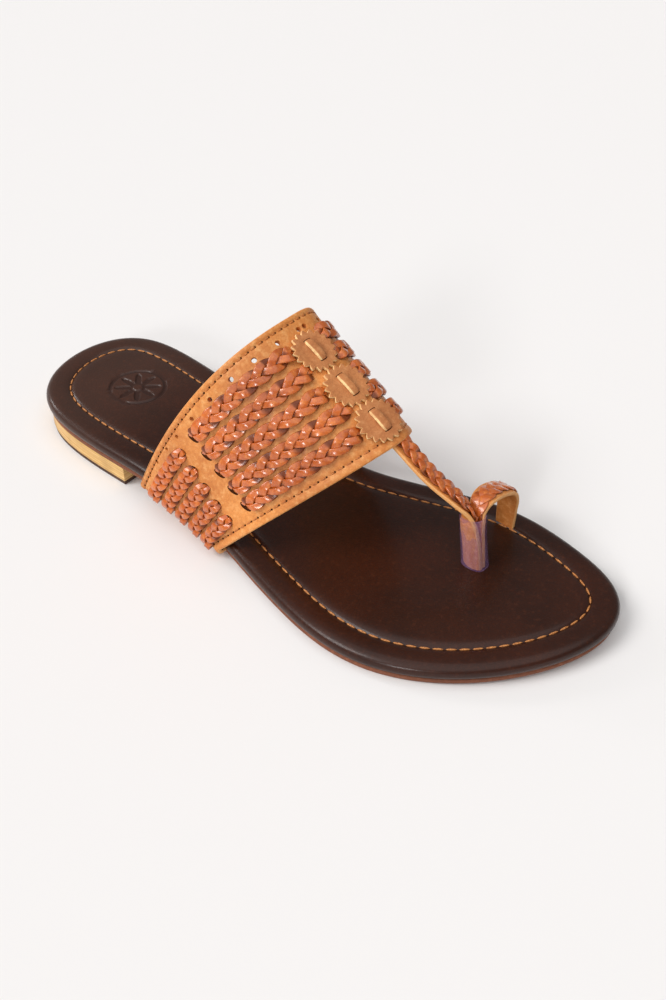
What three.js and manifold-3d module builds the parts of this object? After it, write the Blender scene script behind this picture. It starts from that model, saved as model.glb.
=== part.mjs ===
// Right-foot kolhapuri sandal: a leather sole stack with a low heel block, an arched vamp with
// plaited trim, and a T-strap and big-toe loop held in a clear sleeve. Millimetres, +X to the
// toe, +Y to the inner side of the foot, +Z up.
import * as THREE from 'three';
import { mergeVertices } from 'three/addons/utils/BufferGeometryUtils.js';
import Module from 'manifold-3d';

const wasm = await Module();
wasm.setup();

// Driving dimensions, mm
const LENGTH = 250;
const GAP = 0.3;
const LIFT_THICK = 1.5;
const BLOCK_THICK = 6.4;
const HEEL_RISE = LIFT_THICK + BLOCK_THICK + 2 * GAP;
const TOE_SPRING = 2.4;
const OUTSOLE_THICK = 2;
const FOOTBED_THICK = 5.1;
const HEEL_FRONT = 66.5;
const HEEL_INSET = 1.2;
const VAMP_WALL = OUTSOLE_THICK;
const VAMP_TURN = 3;
const VAMP_TUCK = 8;
const VAMP_REACH = 100;
const VAMP_EASE = 0.9;
const LONG_PLAIT = { width: 7.2, thick: 2.4 };
const SHORT_PLAIT = { width: 6.1, thick: 2 };
const PATCH_RADIUS = 7.85;
const PATCH_TOOTH = 1.1;
const PATCH_TEETH = 18;
const PATCH_THICK = 1.3;
const PATCH_DOME = 0.4;
const TAB_HALF_WIDTH = 1.5;
const TAB_HALF_LENGTH = 4.1;
const TAB_THICK = 1.3;
const SLEEVE_WALL = 0.5;
const SLEEVE_SQUARE = 2.8;
const CUT_ROOM = 0.008;

// Places along the sole, as shares of its length
const SEAT_END = 0.275;
const BALL_START = 0.59;
const BALL_END = 0.76;

// The sole's outline: at = share of the length, bend = the middle line's sideways place and
// half = the half width divided by sin(angle), mm
const OUTLINE = [
  { at: 0, bend: 1.1, half: 69.2 },
  { at: 0.12, bend: -2, half: 49.1 },
  { at: 0.28, bend: -4.4, half: 34.8 },
  { at: 0.45, bend: -6, half: 30.7 },
  { at: 0.62, bend: -6.2, half: 40.9 },
  { at: 0.78, bend: -1.9, half: 55.4 },
  { at: 0.9, bend: 4, half: 59.1 },
  { at: 1, bend: 13, half: 60.6 },
];

// The vamp's two edges: its crown, where each foot meets the sole, how square each shoulder is
// and how far the edge bows forward
const REAR_EDGE = {
  crown: [120.5, 3.5, 80],
  outerFoot: 80.6,
  innerFoot: 88,
  outerSquare: 3,
  innerSquare: 2.9,
  bow: -0.17,
};
const FRONT_EDGE = {
  crown: [170, 4, 52],
  outerFoot: 123.3,
  innerFoot: 128,
  outerSquare: 1.68,
  innerSquare: 1.9,
  bow: -0.08,
};

// Plait rows over the vamp: across = share of the way from its rear edge to its front edge,
// low and high = shares of the way up the side at the long plait's ends, side and foot = the
// short plait's top, as a share of the way up, and its lower end's place across
const PLAIT_ROWS = [
  { across: 0.19, low: 0.415, high: 0.84, side: 0.325, foot: 0.195 },
  { across: 0.345, low: 0.39, high: 0.845, side: 0.295, foot: 0.365 },
  { across: 0.5, low: 0.366, high: 0.85, side: 0.265, foot: 0.535 },
  { across: 0.655, low: 0.346, high: 0.85, side: 0.235, foot: 0.705 },
  { across: 0.81, low: 0.327, high: 0.845, side: 0.215, foot: 0.87 },
];
const PLAIT_FOOT = -0.018;
const PATCHES_ACROSS = [0.265, 0.545, 0.825];
const PATCH_HEIGHT = 0.965;

// The strap's and the toe loop's middle lines, with the band's width and how far its width has
// turned from across the foot (0) to along it (90)
const STRAP_ROUTE = [
  { at: [156, 4, 56.9], width: 8.4, turn: 0 },
  { at: [168.5, 4.2, 49.3], width: 7.8, turn: 0 },
  { at: [180, 4.8, 41.4], width: 7.2, turn: -5 },
  { at: [189.6, 6.8, 35], width: 6.8, turn: -25 },
  { at: [193.9, 8.3, 29.6], width: 6.2, turn: -60 },
  { at: [195.4, 8.9, 23], width: 6, turn: -80 },
  { at: [196.8, 9.4, 15], width: 6, turn: -84 },
  { at: [198.1, 9.8, 4], width: 6, turn: -84 },
];
const LOOP_ROUTE = [
  { at: [198.1, 11.3, 4], width: 6, turn: -84 },
  { at: [196.8, 11.4, 15], width: 6, turn: -84 },
  { at: [195.7, 11.7, 23], width: 6, turn: -84 },
  { at: [195.2, 12.6, 28], width: 6.6, turn: -86 },
  { at: [194.8, 15.8, 31], width: 8, turn: -88 },
  { at: [194.5, 20.5, 31], width: 9, turn: -90 },
  { at: [194.3, 26.5, 28.9], width: 9.2, turn: -90 },
  { at: [194.2, 31.8, 25.6], width: 9.2, turn: -90 },
  { at: [194.1, 34.7, 20.6], width: 8.8, turn: -90 },
  { at: [194, 35.2, 14], width: 8, turn: -90 },
  { at: [194, 35.2, 4], width: 7.4, turn: -90 },
];
const STRAP_THICK = 1.6;
const STRAP_PLAIT_THICK = 1.5;
const STRAP_PLAIT_SHARE = 0.9;

// Stations along the two bands, and the stations that each band's plait runs between
const STRAP_STEPS = 22;
const LOOP_STEPS = 30;
const STRAP_PLAIT_ENDS = [5, 9];
const LOOP_PLAIT_ENDS = [10, 28];

// Cross-sections in halves of the width and thickness: a band, a plait and a tab. The last
// point of each is the middle of its ends' fans
const BAND_SECTION = [
  [-1, -0.6], [-0.93, -1], [0.93, -1], [1, -0.6], [1, 0.6], [0.93, 1], [-0.93, 1], [-1, 0.6],
];
const PLAIT_SECTION = [
  [-1, 0], [-0.92, 0.55], [-0.5, 0.95], [0, 1], [0.5, 0.95], [0.92, 0.55], [1, 0], [0, 0],
];
const TAB_SECTION = [[-1, 0], [-0.87, 0.7], [0, 1], [0.87, 0.7], [1, 0], [0, 0]];

// Rings of the two layers of the sole, from the underside to the top
const OUTSOLE_RINGS = [
  { inset: 1.3, rise: 0 },
  { inset: 0.9, rise: 0.4 },
  { inset: 0.9, rise: 1.6 },
  { inset: 1.3, rise: OUTSOLE_THICK },
];
const FOOTBED_RINGS = [
  { inset: 1.1, rise: 0 },
  { inset: 0.3, rise: 0.6 },
  { inset: 0, rise: 1.7 },
  { inset: 0.15, rise: 3.2 },
  { inset: 0.9, rise: 4.2 },
  { inset: 2.3, rise: 4.85 },
  { inset: 4.5, rise: FOOTBED_THICK },
  { inset: 12, rise: FOOTBED_THICK },
];
const SOLE_STEPS = 72;
const VAMP_STEPS = 9;
const PLAIT_STEPS = 12;
const WALL_HEIGHTS = [0, 0.04, 0.1, 0.18, 0.26, 0.34, 0.42, 0.5, 0.58, 0.66, 0.74, 0.82, 0.91];

// The clear sleeve from its foot to its mouth: length along and width across the foot
const SLEEVE_STATIONS = [
  { at: [197.9, 10.6, 7.9], long: 9.4, wide: 7.8 },
  { at: [196.4, 10.3, 19], long: 9, wide: 7.6 },
  { at: [195.4, 10.2, 28.4], long: 8.8, wide: 7.6 },
];

// A natural cubic spline through (xs, ys)
function spline(xs, ys) {
  const last = xs.length - 1;
  const upper = [0];
  const right = [0];
  for (let i = 1; i < last; i += 1) {
    const before = xs[i] - xs[i - 1];
    const after = xs[i + 1] - xs[i];
    const slopes = (ys[i + 1] - ys[i]) / after - (ys[i] - ys[i - 1]) / before;
    const pivot = 2 * (before + after) - before * upper[i - 1];
    upper.push(after / pivot);
    right.push((6 * slopes - before * right[i - 1]) / pivot);
  }
  const curve = new Array(last + 1).fill(0);
  for (let i = last - 1; i > 0; i -= 1) {
    curve[i] = right[i] - upper[i] * curve[i + 1];
  }
  return (x) => {
    const found = xs.findIndex((value) => value >= x);
    const i = Math.min(Math.max((found < 0 ? last : found) - 1, 0), last - 1);
    const span = xs[i + 1] - xs[i];
    const a = (xs[i + 1] - x) / span;
    const b = 1 - a;
    const lift = ((a ** 3 - a) * curve[i] + (b ** 3 - b) * curve[i + 1]) * span * span / 6;
    return a * ys[i] + b * ys[i + 1] + lift;
  };
}

const mix = (a, b, share) => a + (b - a) * share;
const smooth = (start, end, x) => THREE.MathUtils.smoothstep(x, start, end);
const bendAt = spline(OUTLINE.map((row) => row.at), OUTLINE.map((row) => row.bend));
const halfAt = spline(OUTLINE.map((row) => row.at), OUTLINE.map((row) => row.half));

// Height of the outsole's underside above the floor
function soleBottom(x) {
  const share = x / LENGTH;
  const toe = Math.max(0, (share - BALL_END) / (1 - BALL_END));
  return HEEL_RISE * (1 - smooth(SEAT_END, BALL_START, share)) + TOE_SPRING * toe * toe;
}

function outlinePoint(angle) {
  const share = (1 - Math.cos(angle)) / 2;
  return new THREE.Vector2(LENGTH * share, bendAt(share) - Math.sin(angle) * halfAt(share));
}

// The outline moved in by inset; the point at angle, from 0 at the heel round the outer side
function insetPoint(angle, inset) {
  const step = 0.001;
  const along = outlinePoint(angle + step).sub(outlinePoint(angle - step)).normalize();
  return outlinePoint(angle).add(new THREE.Vector2(-along.y, along.x).multiplyScalar(inset));
}

// Sideways place of the sole's edge at x; side is -1 on the outer side and 1 on the inner
function edgeAt(x, side) {
  const angle = Math.acos(1 - 2 * x / LENGTH);
  return bendAt(x / LENGTH) + side * Math.sin(angle) * halfAt(x / LENGTH);
}

// Collects quads and triangles into one geometry
class Skin {
  constructor() {
    this.points = [];
    this.faces = [];
  }

  add(x, y, z) {
    this.points.push(x, y, z);
    return this.points.length / 3 - 1;
  }

  quad(a, b, c, d) {
    this.faces.push(a, b, c, a, c, d);
  }

  // Joins two loops of point numbers with a band of quads
  band(lower, upper) {
    lower.forEach((point, i) => {
      const next = (i + 1) % lower.length;
      this.quad(point, lower[next], upper[next], upper[i]);
    });
  }

  // Closes a loop that is symmetric about its first point with strips across it
  closeAcross(loop, up) {
    const half = loop.length / 2;
    for (let i = 0; i < half; i += 1) {
      const a = loop[i];
      const b = loop[i + 1];
      const c = loop[(loop.length - i - 1) % loop.length];
      const d = loop[(loop.length - i) % loop.length];
      const corners = up ? [a, b, c, d] : [d, c, b, a];
      const face = corners.filter((corner, k) => corner !== corners[(k + 1) % 4]);
      this.faces.push(face[0], face[1], face[2]);
      if (face.length === 4) {
        this.faces.push(face[0], face[2], face[3]);
      }
    }
  }

  // Joins a row of loops and closes both ends with fans about each loop's last point
  sweep(rings) {
    const first = rings[0];
    const last = rings[rings.length - 1];
    const hub = first.length - 1;
    for (let i = 1; i < rings.length; i += 1) {
      this.band(rings[i - 1], rings[i]);
    }
    for (let i = 0; i < hub - 1; i += 1) {
      this.faces.push(first[hub], first[i + 1], first[i]);
      this.faces.push(last[hub], last[i], last[i + 1]);
    }
    return this.geometry();
  }

  geometry() {
    const geometry = new THREE.BufferGeometry();
    geometry.setAttribute('position', new THREE.Float32BufferAttribute(this.points, 3));
    geometry.setIndex(this.faces);
    return geometry;
  }
}

// A layer of the sole: rings of { inset, rise } from its underside to its top, following base(x)
function soleLayer(rings, base, steps) {
  const skin = new Skin();
  const loops = rings.map(({ inset, rise }) => {
    const loop = [];
    for (let i = 0; i < steps; i += 1) {
      const point = insetPoint((2 * Math.PI * i) / steps, inset);
      loop.push(skin.add(point.x, point.y, base(point.x) + rise));
    }
    return loop;
  });
  skin.closeAcross(loops[0], false);
  for (let i = 1; i < loops.length; i += 1) {
    skin.band(loops[i - 1], loops[i]);
  }
  skin.closeAcross(loops[loops.length - 1], true);
  return skin.geometry();
}

// The heel's outline, cut square at its front edge, as a shape drawn from above
function heelShape(inset, front) {
  const shape = new THREE.Shape();
  const frontAngle = Math.acos(1 - 2 * front / LENGTH);
  const steps = 48;
  for (let i = 0; i <= steps; i += 1) {
    const angle = frontAngle * (1 - 2 * i / steps);
    const point = insetPoint(angle, inset);
    if (i === 0) {
      shape.moveTo(front, point.y);
    } else if (i === steps) {
      shape.lineTo(front, point.y);
    } else {
      shape.lineTo(point.x, point.y);
    }
  }
  return shape;
}

// A rounded slab of the heel outline between two heights
function heelSlab(inset, front, bottom, thick, round) {
  const geometry = new THREE.ExtrudeGeometry(heelShape(inset + round, front - round), {
    depth: thick - 2 * round,
    bevelEnabled: true,
    bevelThickness: round,
    bevelSize: round,
    bevelSegments: 2,
  });
  geometry.translate(0, 0, bottom + round);
  return geometry;
}

// One line across the vamp from a foot up to the crown; side -1 outer, 1 inner
function vampLine(across, side) {
  const crown = REAR_EDGE.crown.map((value, i) => mix(value, FRONT_EDGE.crown[i], across));
  const bow = mix(REAR_EDGE.bow, FRONT_EDGE.bow, across);
  const outer = side < 0;
  const footX = outer
    ? mix(REAR_EDGE.outerFoot, FRONT_EDGE.outerFoot, across)
    : mix(REAR_EDGE.innerFoot, FRONT_EDGE.innerFoot, across);
  const square = outer
    ? mix(REAR_EDGE.outerSquare, FRONT_EDGE.outerSquare, across)
    : mix(REAR_EDGE.innerSquare, FRONT_EDGE.innerSquare, across);
  const bottom = soleBottom(footX);
  const footY = edgeAt(footX, side) + side * (VAMP_EASE + VAMP_WALL);
  const steps = 40;
  const line = [];
  for (let i = 0; i <= steps; i += 1) {
    const angle = (Math.PI / 2) * (i / steps);
    const up = Math.sin(angle) ** (2 / square);
    line.push(new THREE.Vector3(
      mix(footX, crown[0], up + bow * up * (1 - up)),
      mix(crown[1], footY, Math.max(Math.cos(angle), 0) ** (2 / square)),
      mix(bottom + VAMP_TURN, crown[2], up),
    ));
  }
  return { line, foot: new THREE.Vector3(footX, footY, bottom) };
}

// The point a share of the way along a list of points, by length
function pointAlong(line, share) {
  const lengths = [0];
  for (let i = 1; i < line.length; i += 1) {
    lengths.push(lengths[i - 1] + line[i].distanceTo(line[i - 1]));
  }
  const goal = share * lengths[lengths.length - 1];
  const found = lengths.findIndex((length, i) => i > 0 && length >= goal);
  const i = found < 0 ? line.length - 1 : found;
  const local = (goal - lengths[i - 1]) / (lengths[i] - lengths[i - 1]);
  return line[i - 1].clone().lerp(line[i], local);
}

// A point of the vamp's outer face: up runs 0 at the outer foot, 1 at the crown, 2 at the inner
function vampPoint(across, up) {
  const side = up <= 1 ? -1 : 1;
  return pointAlong(vampLine(across, side).line, side < 0 ? up : 2 - up);
}

function vampNormal(across, up) {
  const step = 0.012;
  const low = Math.max(up - step, 0);
  const high = Math.min(up + step, 2);
  const forward = vampPoint(across + step, up).sub(vampPoint(across - step, up));
  const over = vampPoint(across, high).sub(vampPoint(across, low));
  return over.cross(forward).negate().normalize();
}

// A point held off the vamp's outer face along its normal; past either foot, where up is below
// 0 or above 2, it runs round the turn under the footbed
function offVamp(across, up, rise) {
  if (up >= 0 && up <= 2) {
    return vampPoint(across, up).addScaledVector(vampNormal(across, up), rise);
  }
  const side = up < 0 ? -1 : 1;
  const { foot } = vampLine(across, side);
  const angle = (Math.max(-up, up - 2) * VAMP_REACH) / VAMP_TURN;
  const reach = VAMP_TURN + rise;
  return new THREE.Vector3(
    foot.x,
    foot.y + side * (reach * Math.cos(angle) - VAMP_TURN),
    foot.z + VAMP_TURN - reach * Math.sin(angle),
  );
}

// One section of the vamp sheet, from tucked edge to tucked edge; spread thickens the sheet
function vampSection(across, spread, heights) {
  const tuck = (side) => {
    const { foot } = vampLine(across, side);
    const inwards = new THREE.Vector3(0, -side, 0);
    const centre = foot.clone().addScaledVector(inwards, VAMP_TURN);
    centre.z += VAMP_TURN;
    const points = [];
    for (const turn of [90, 60, 30]) {
      const angle = THREE.MathUtils.degToRad(turn);
      const normal = new THREE.Vector3(0, side * Math.cos(angle), -Math.sin(angle));
      points.push({ at: centre.clone().addScaledVector(normal, VAMP_TURN), normal });
    }
    const end = points[0].at.clone().addScaledVector(inwards, VAMP_TUCK - VAMP_TURN + spread);
    return [{ at: end, normal: points[0].normal }, ...points];
  };
  const wall = heights.map((up) => ({ at: vampPoint(across, up), normal: vampNormal(across, up) }));
  return [...tuck(-1), ...wall, ...tuck(1).reverse()].map(({ at, normal }) => ({
    outer: at.clone().addScaledVector(normal, spread),
    inner: at.clone().addScaledVector(normal, -VAMP_WALL - spread),
  }));
}

// The vamp as a closed sheet between two shares of the way from rear to front
function vampSheet(from, to, steps, spread, heights) {
  const skin = new Skin();
  const rings = [];
  for (let i = 0; i <= steps; i += 1) {
    const section = vampSection(mix(from, to, i / steps), spread, heights);
    const outer = section.map(({ outer: p }) => skin.add(p.x, p.y, p.z));
    const inner = section.map(({ inner: p }) => skin.add(p.x, p.y, p.z));
    rings.push([...outer, ...inner.reverse()]);
  }
  const half = rings[0].length / 2;
  for (let i = 1; i < rings.length; i += 1) {
    skin.band(rings[i - 1], rings[i]);
  }
  for (let i = 0; i < half - 1; i += 1) {
    const back = 2 * half - 1 - i;
    const first = rings[0];
    const last = rings[rings.length - 1];
    skin.quad(first[i], first[back], first[back - 1], first[i + 1]);
    skin.quad(last[i + 1], last[back - 1], last[back], last[i]);
  }
  return skin.geometry();
}

// A flat band with rounded sides swept along a route of { at, width, turn }
function bandAlong(route, thick, steps, widthScale = 1, rise = 0, ends = [0, 1]) {
  const curve = new THREE.CatmullRomCurve3(route.map(({ at }) => new THREE.Vector3(...at)));
  const widthAt = spline(route.map((_, i) => i), route.map(({ width }) => width));
  const turnAt = spline(route.map((_, i) => i), route.map(({ turn }) => turn));
  const skin = new Skin();
  const rings = [];
  for (let i = 0; i <= steps; i += 1) {
    const share = mix(ends[0], ends[1], i / steps);
    const place = share * (route.length - 1);
    const along = curve.getTangent(share);
    const angle = THREE.MathUtils.degToRad(turnAt(place));
    const wide = new THREE.Vector3(Math.sin(angle), Math.cos(angle), 0);
    wide.addScaledVector(along, -wide.dot(along)).normalize();
    const up = along.clone().cross(wide).normalize();
    const centre = curve.getPoint(share).addScaledVector(up, rise);
    const half = (widthAt(place) * widthScale) / 2;
    rings.push(BAND_SECTION.map(([across, over]) => {
      const point = centre.clone().addScaledVector(wide, across * half);
      point.addScaledVector(up, (over * thick) / 2);
      return skin.add(point.x, point.y, point.z);
    }));
  }
  return outward(skin.sweep(rings));
}

// Turns a geometry's faces over
function flipped(geometry) {
  const index = geometry.index.array.slice();
  for (let i = 0; i < index.length; i += 3) {
    [index[i], index[i + 1]] = [index[i + 1], index[i]];
  }
  const turned = geometry.clone();
  turned.setIndex(Array.from(index));
  return turned;
}

// Makes a geometry's faces point out, whichever way they were wound
function outward(geometry) {
  const { array } = geometry.attributes.position;
  const faces = geometry.index.array;
  const corner = (i) => new THREE.Vector3().fromArray(array, faces[i] * 3);
  let volume = 0;
  for (let i = 0; i < faces.length; i += 3) {
    volume += corner(i).dot(corner(i + 1).cross(corner(i + 2)));
  }
  return volume < 0 ? flipped(geometry) : geometry;
}

function asSolid(geometry) {
  const bare = geometry.clone();
  bare.deleteAttribute('normal');
  bare.deleteAttribute('uv');
  const welded = outward(mergeVertices(bare, 0.001));
  return new wasm.Manifold(new wasm.Mesh({
    numProp: 3,
    vertProperties: new Float32Array(welded.attributes.position.array),
    triVerts: new Uint32Array(welded.index.array),
  }));
}

function asGeometry(solid) {
  const mesh = solid.getMesh();
  const geometry = new THREE.BufferGeometry();
  geometry.setAttribute('position', new THREE.BufferAttribute(mesh.vertProperties, 3));
  geometry.setIndex(new THREE.BufferAttribute(mesh.triVerts, 1));
  return geometry;
}

// Millimetres to one unit of across, and to one unit of up, at a place on the vamp
function reachAcross(across, up) {
  const step = 0.01;
  return vampPoint(across + step, up).distanceTo(vampPoint(across - step, up)) / (2 * step);
}

function reachUp(across, up) {
  const step = 0.01;
  return vampPoint(across, up + step).distanceTo(vampPoint(across, up - step)) / (2 * step);
}

// A raised strip on the vamp from one place { across, up } to another, with a domed top and
// ends that are lower and narrower
function plaitOnVamp(from, to, { width, thick }) {
  const skin = new Skin();
  const endHeight = 0.45;
  const endWidth = 0.89;
  const rings = [];
  for (let i = 0; i <= PLAIT_STEPS; i += 1) {
    const across = mix(from.across, to.across, i / PLAIT_STEPS);
    const up = mix(from.up, to.up, i / PLAIT_STEPS);
    const reach = reachAcross(across, THREE.MathUtils.clamp(up, 0, 2));
    const atEnd = i === 0 || i === PLAIT_STEPS;
    const taper = atEnd ? endHeight : 1;
    const half = (width / 2 / reach) * (atEnd ? endWidth : 1);
    rings.push(PLAIT_SECTION.map(([aside, rise]) => {
      const point = offVamp(across + aside * half, up, GAP + rise * taper * thick);
      return skin.add(point.x, point.y, point.z);
    }));
  }
  return outward(skin.sweep(rings));
}

// The vamp's place a distance forward and sideways from a patch's middle
function aroundPatch(across, forward, aside, rise) {
  const placeAcross = across + forward / reachAcross(across, PATCH_HEIGHT);
  const placeUp = PATCH_HEIGHT + aside / reachUp(across, PATCH_HEIGHT);
  return offVamp(placeAcross, placeUp, rise);
}

// A round leather patch with a toothed edge, laid over the crown
function patchOnVamp(across) {
  const skin = new Skin();
  const count = PATCH_TEETH * 2;
  const ring = (share, rise) => {
    const loop = [];
    for (let i = 0; i < count; i += 1) {
      const angle = (2 * Math.PI * i) / count;
      const tooth = i % 2 ? -PATCH_TOOTH : 0;
      const radius = share === 1 ? PATCH_RADIUS + tooth : PATCH_RADIUS * share;
      const point = aroundPatch(across, radius * Math.cos(angle), radius * Math.sin(angle), rise);
      loop.push(skin.add(point.x, point.y, point.z));
    }
    return loop;
  };
  const core = 0.45;
  const shoulder = 0.8;
  const top = GAP + PATCH_THICK;
  const loops = [
    ring(core, GAP),
    ring(1, GAP),
    ring(1, top),
    ring(shoulder, top + PATCH_DOME / 2),
    ring(core, top + PATCH_DOME),
  ];
  for (let i = 1; i < loops.length; i += 1) {
    skin.band(loops[i - 1], loops[i]);
  }
  skin.closeAcross(loops[0], false);
  skin.closeAcross(loops[loops.length - 1], true);
  return outward(skin.geometry());
}

// The short raised tab on a patch, lying along the row of patches
function tabOnPatch(across) {
  const skin = new Skin();
  const base = GAP + PATCH_THICK + PATCH_DOME + GAP;
  const endScale = 0.6;
  const endRun = 0.5;
  const stations = [
    { forward: -TAB_HALF_LENGTH, scale: endScale },
    { forward: endRun - TAB_HALF_LENGTH, scale: 1 },
    { forward: 0, scale: 1 },
    { forward: TAB_HALF_LENGTH - endRun, scale: 1 },
    { forward: TAB_HALF_LENGTH, scale: endScale },
  ];
  const rings = stations.map(({ forward, scale }) => TAB_SECTION.map(([aside, rise]) => {
    const point = aroundPatch(
      across,
      forward,
      aside * TAB_HALF_WIDTH * scale,
      base + rise * TAB_THICK * scale,
    );
    return skin.add(point.x, point.y, point.z);
  }));
  return outward(skin.sweep(rings));
}

// The clear sleeve: a thin oval tube round the two bands where they run down to the footbed
function sleeve() {
  const skin = new Skin();
  const sides = 24;
  const loopAt = ({ at, long, wide }, wall) => {
    const loop = [];
    for (let i = 0; i < sides; i += 1) {
      const angle = (2 * Math.PI * i) / sides;
      const square = (value) => Math.sign(value) * Math.abs(value) ** (2 / SLEEVE_SQUARE);
      const x = at[0] + (long / 2 - wall) * square(Math.cos(angle));
      const y = at[1] + (wide / 2 - wall) * square(Math.sin(angle));
      loop.push(skin.add(x, y, at[2]));
    }
    return loop;
  };
  const outer = SLEEVE_STATIONS.map((station) => loopAt(station, 0));
  const inner = SLEEVE_STATIONS.map((station) => loopAt(station, SLEEVE_WALL));
  const loops = [...outer, ...inner.reverse()];
  loops.forEach((loop, i) => skin.band(loop, loops[(i + 1) % loops.length]));
  return outward(skin.geometry());
}

const outsoleBlank = soleLayer(OUTSOLE_RINGS, soleBottom, SOLE_STEPS);
const footbedBlank = soleLayer(FOOTBED_RINGS, (x) => soleBottom(x) + OUTSOLE_THICK + GAP, SOLE_STEPS);

const vampHeights = [...WALL_HEIGHTS, 1, ...WALL_HEIGHTS.map((up) => 2 - up).reverse()];
const vamp = asSolid(vampSheet(0, 1, VAMP_STEPS, 0, vampHeights));
const strapBand = asSolid(bandAlong(STRAP_ROUTE, STRAP_THICK, STRAP_STEPS));
const loopBand = asSolid(bandAlong(LOOP_ROUTE, STRAP_THICK, LOOP_STEPS));
const upper = vamp.add(strapBand).add(loopBand);

// Room for the two bands where they run through the sleeve and the footbed
const BAND_ROOM_SHARE = 1.1;
const bandRoom = asSolid(bandAlong(STRAP_ROUTE, STRAP_THICK + 2 * GAP, STRAP_STEPS, BAND_ROOM_SHARE))
  .add(asSolid(bandAlong(LOOP_ROUTE, STRAP_THICK + 2 * GAP, LOOP_STEPS, BAND_ROOM_SHARE)));
const footbed = asSolid(footbedBlank).subtract(bandRoom);
const toeSleeve = asSolid(sleeve()).subtract(bandRoom);

// The outsole is notched where the vamp's feet tuck under the footbed
const vampRoom = asSolid(vampSheet(-CUT_ROOM, 1 + CUT_ROOM, VAMP_STEPS, GAP, vampHeights));
const outsole = asSolid(outsoleBlank).subtract(vampRoom).subtract(bandRoom);

const leather = (color, roughness) => new THREE.MeshStandardMaterial({ color, roughness, metalness: 0 });
const tan = leather(0xb9722f, 0.55);
const patchTan = leather(0xb67a3c, 0.7);
const rust = leather(0xa4511f, 0.35);
const espresso = leather(0x3a2823, 0.55);
const soleBrown = leather(0x6b3a24, 0.7);
const gold = new THREE.MeshStandardMaterial({ color: 0xb9a078, roughness: 0.4, metalness: 0.8 });
const darkRubber = leather(0x2a211d, 0.8);
const clear = new THREE.MeshStandardMaterial({
  color: 0xc9b7cf,
  roughness: 0.15,
  metalness: 0,
  transparent: true,
  opacity: 0.4,
});

const sandal = new THREE.Group();
function place(name, geometry, material) {
  const mesh = new THREE.Mesh(geometry, material);
  mesh.name = name;
  sandal.add(mesh);
}

place('heel_lift', heelSlab(HEEL_INSET + 0.3, HEEL_FRONT - 0.3, 0, LIFT_THICK, 0.3), darkRubber);
place('heel_block', heelSlab(HEEL_INSET, HEEL_FRONT, LIFT_THICK + GAP, BLOCK_THICK, 0.5), gold);
place('outsole', asGeometry(outsole), soleBrown);
place('footbed', asGeometry(footbed), espresso);
place('upper', asGeometry(upper), tan);
place('toe_sleeve', asGeometry(toeSleeve), clear);

// A plait laid on a band between two of the band's own stations
function plaitOnBand(route, steps, [from, to]) {
  const rise = STRAP_THICK / 2 + GAP + STRAP_PLAIT_THICK / 2;
  const ends = [from / steps, to / steps];
  return bandAlong(route, STRAP_PLAIT_THICK, to - from, STRAP_PLAIT_SHARE, rise, ends);
}

place('strap_plait', plaitOnBand(STRAP_ROUTE, STRAP_STEPS, STRAP_PLAIT_ENDS), rust);
place('loop_plait', plaitOnBand(LOOP_ROUTE, LOOP_STEPS, LOOP_PLAIT_ENDS), rust);
PLAIT_ROWS.forEach(({ across, low, high, side, foot }, i) => {
  const row = i + 1;
  const innerTop = { across, up: 2 * PATCH_HEIGHT - high };
  place(`plait_outer_${row}`, plaitOnVamp({ across, up: low }, { across, up: high }, LONG_PLAIT), rust);
  place(`plait_inner_${row}`, plaitOnVamp(innerTop, { across, up: 2 - low }, LONG_PLAIT), rust);
  const outerFoot = { across: foot, up: PLAIT_FOOT };
  const innerFoot = { across: foot, up: 2 - PLAIT_FOOT };
  place(`short_plait_outer_${row}`, plaitOnVamp(outerFoot, { across, up: side }, SHORT_PLAIT), rust);
  place(`short_plait_inner_${row}`, plaitOnVamp({ across, up: 2 - side }, innerFoot, SHORT_PLAIT), rust);
});
PATCHES_ACROSS.forEach((across, i) => {
  place(`patch_${i + 1}`, patchOnVamp(across), patchTan);
  place(`patch_tab_${i + 1}`, tabOnPatch(across), patchTan);
});

// Stands the sandal over the middle of its own footprint
const box = new THREE.Box3().setFromObject(sandal);
sandal.position.set(-(box.min.x + box.max.x) / 2, -(box.min.y + box.max.y) / 2, -box.min.z);

export default sandal;
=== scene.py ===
"""Kolhapuri sandal for the right foot.

The sole, the vamp and the straps follow the maker's pattern in millimetres, +X from heel to toe
and +Y to the inner side of the foot. place() carries a pattern point into the frame's metres.
"""
import math

import bmesh
import bpy
import numpy as np
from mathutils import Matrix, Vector


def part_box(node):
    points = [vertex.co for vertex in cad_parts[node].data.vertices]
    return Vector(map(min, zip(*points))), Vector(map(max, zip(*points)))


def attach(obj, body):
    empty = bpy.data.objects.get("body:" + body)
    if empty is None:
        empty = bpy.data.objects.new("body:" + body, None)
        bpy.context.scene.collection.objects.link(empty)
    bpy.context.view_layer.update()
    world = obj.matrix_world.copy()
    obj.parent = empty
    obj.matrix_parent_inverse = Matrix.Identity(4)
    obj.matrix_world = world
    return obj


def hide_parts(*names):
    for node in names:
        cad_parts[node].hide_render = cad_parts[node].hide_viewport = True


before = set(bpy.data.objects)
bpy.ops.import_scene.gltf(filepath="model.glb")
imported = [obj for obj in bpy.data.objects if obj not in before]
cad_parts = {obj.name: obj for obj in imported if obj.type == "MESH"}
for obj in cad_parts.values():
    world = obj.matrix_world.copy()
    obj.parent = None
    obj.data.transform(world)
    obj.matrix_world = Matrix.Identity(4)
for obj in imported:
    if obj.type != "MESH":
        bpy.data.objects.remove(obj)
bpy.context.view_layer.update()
MM = 0.001

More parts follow.
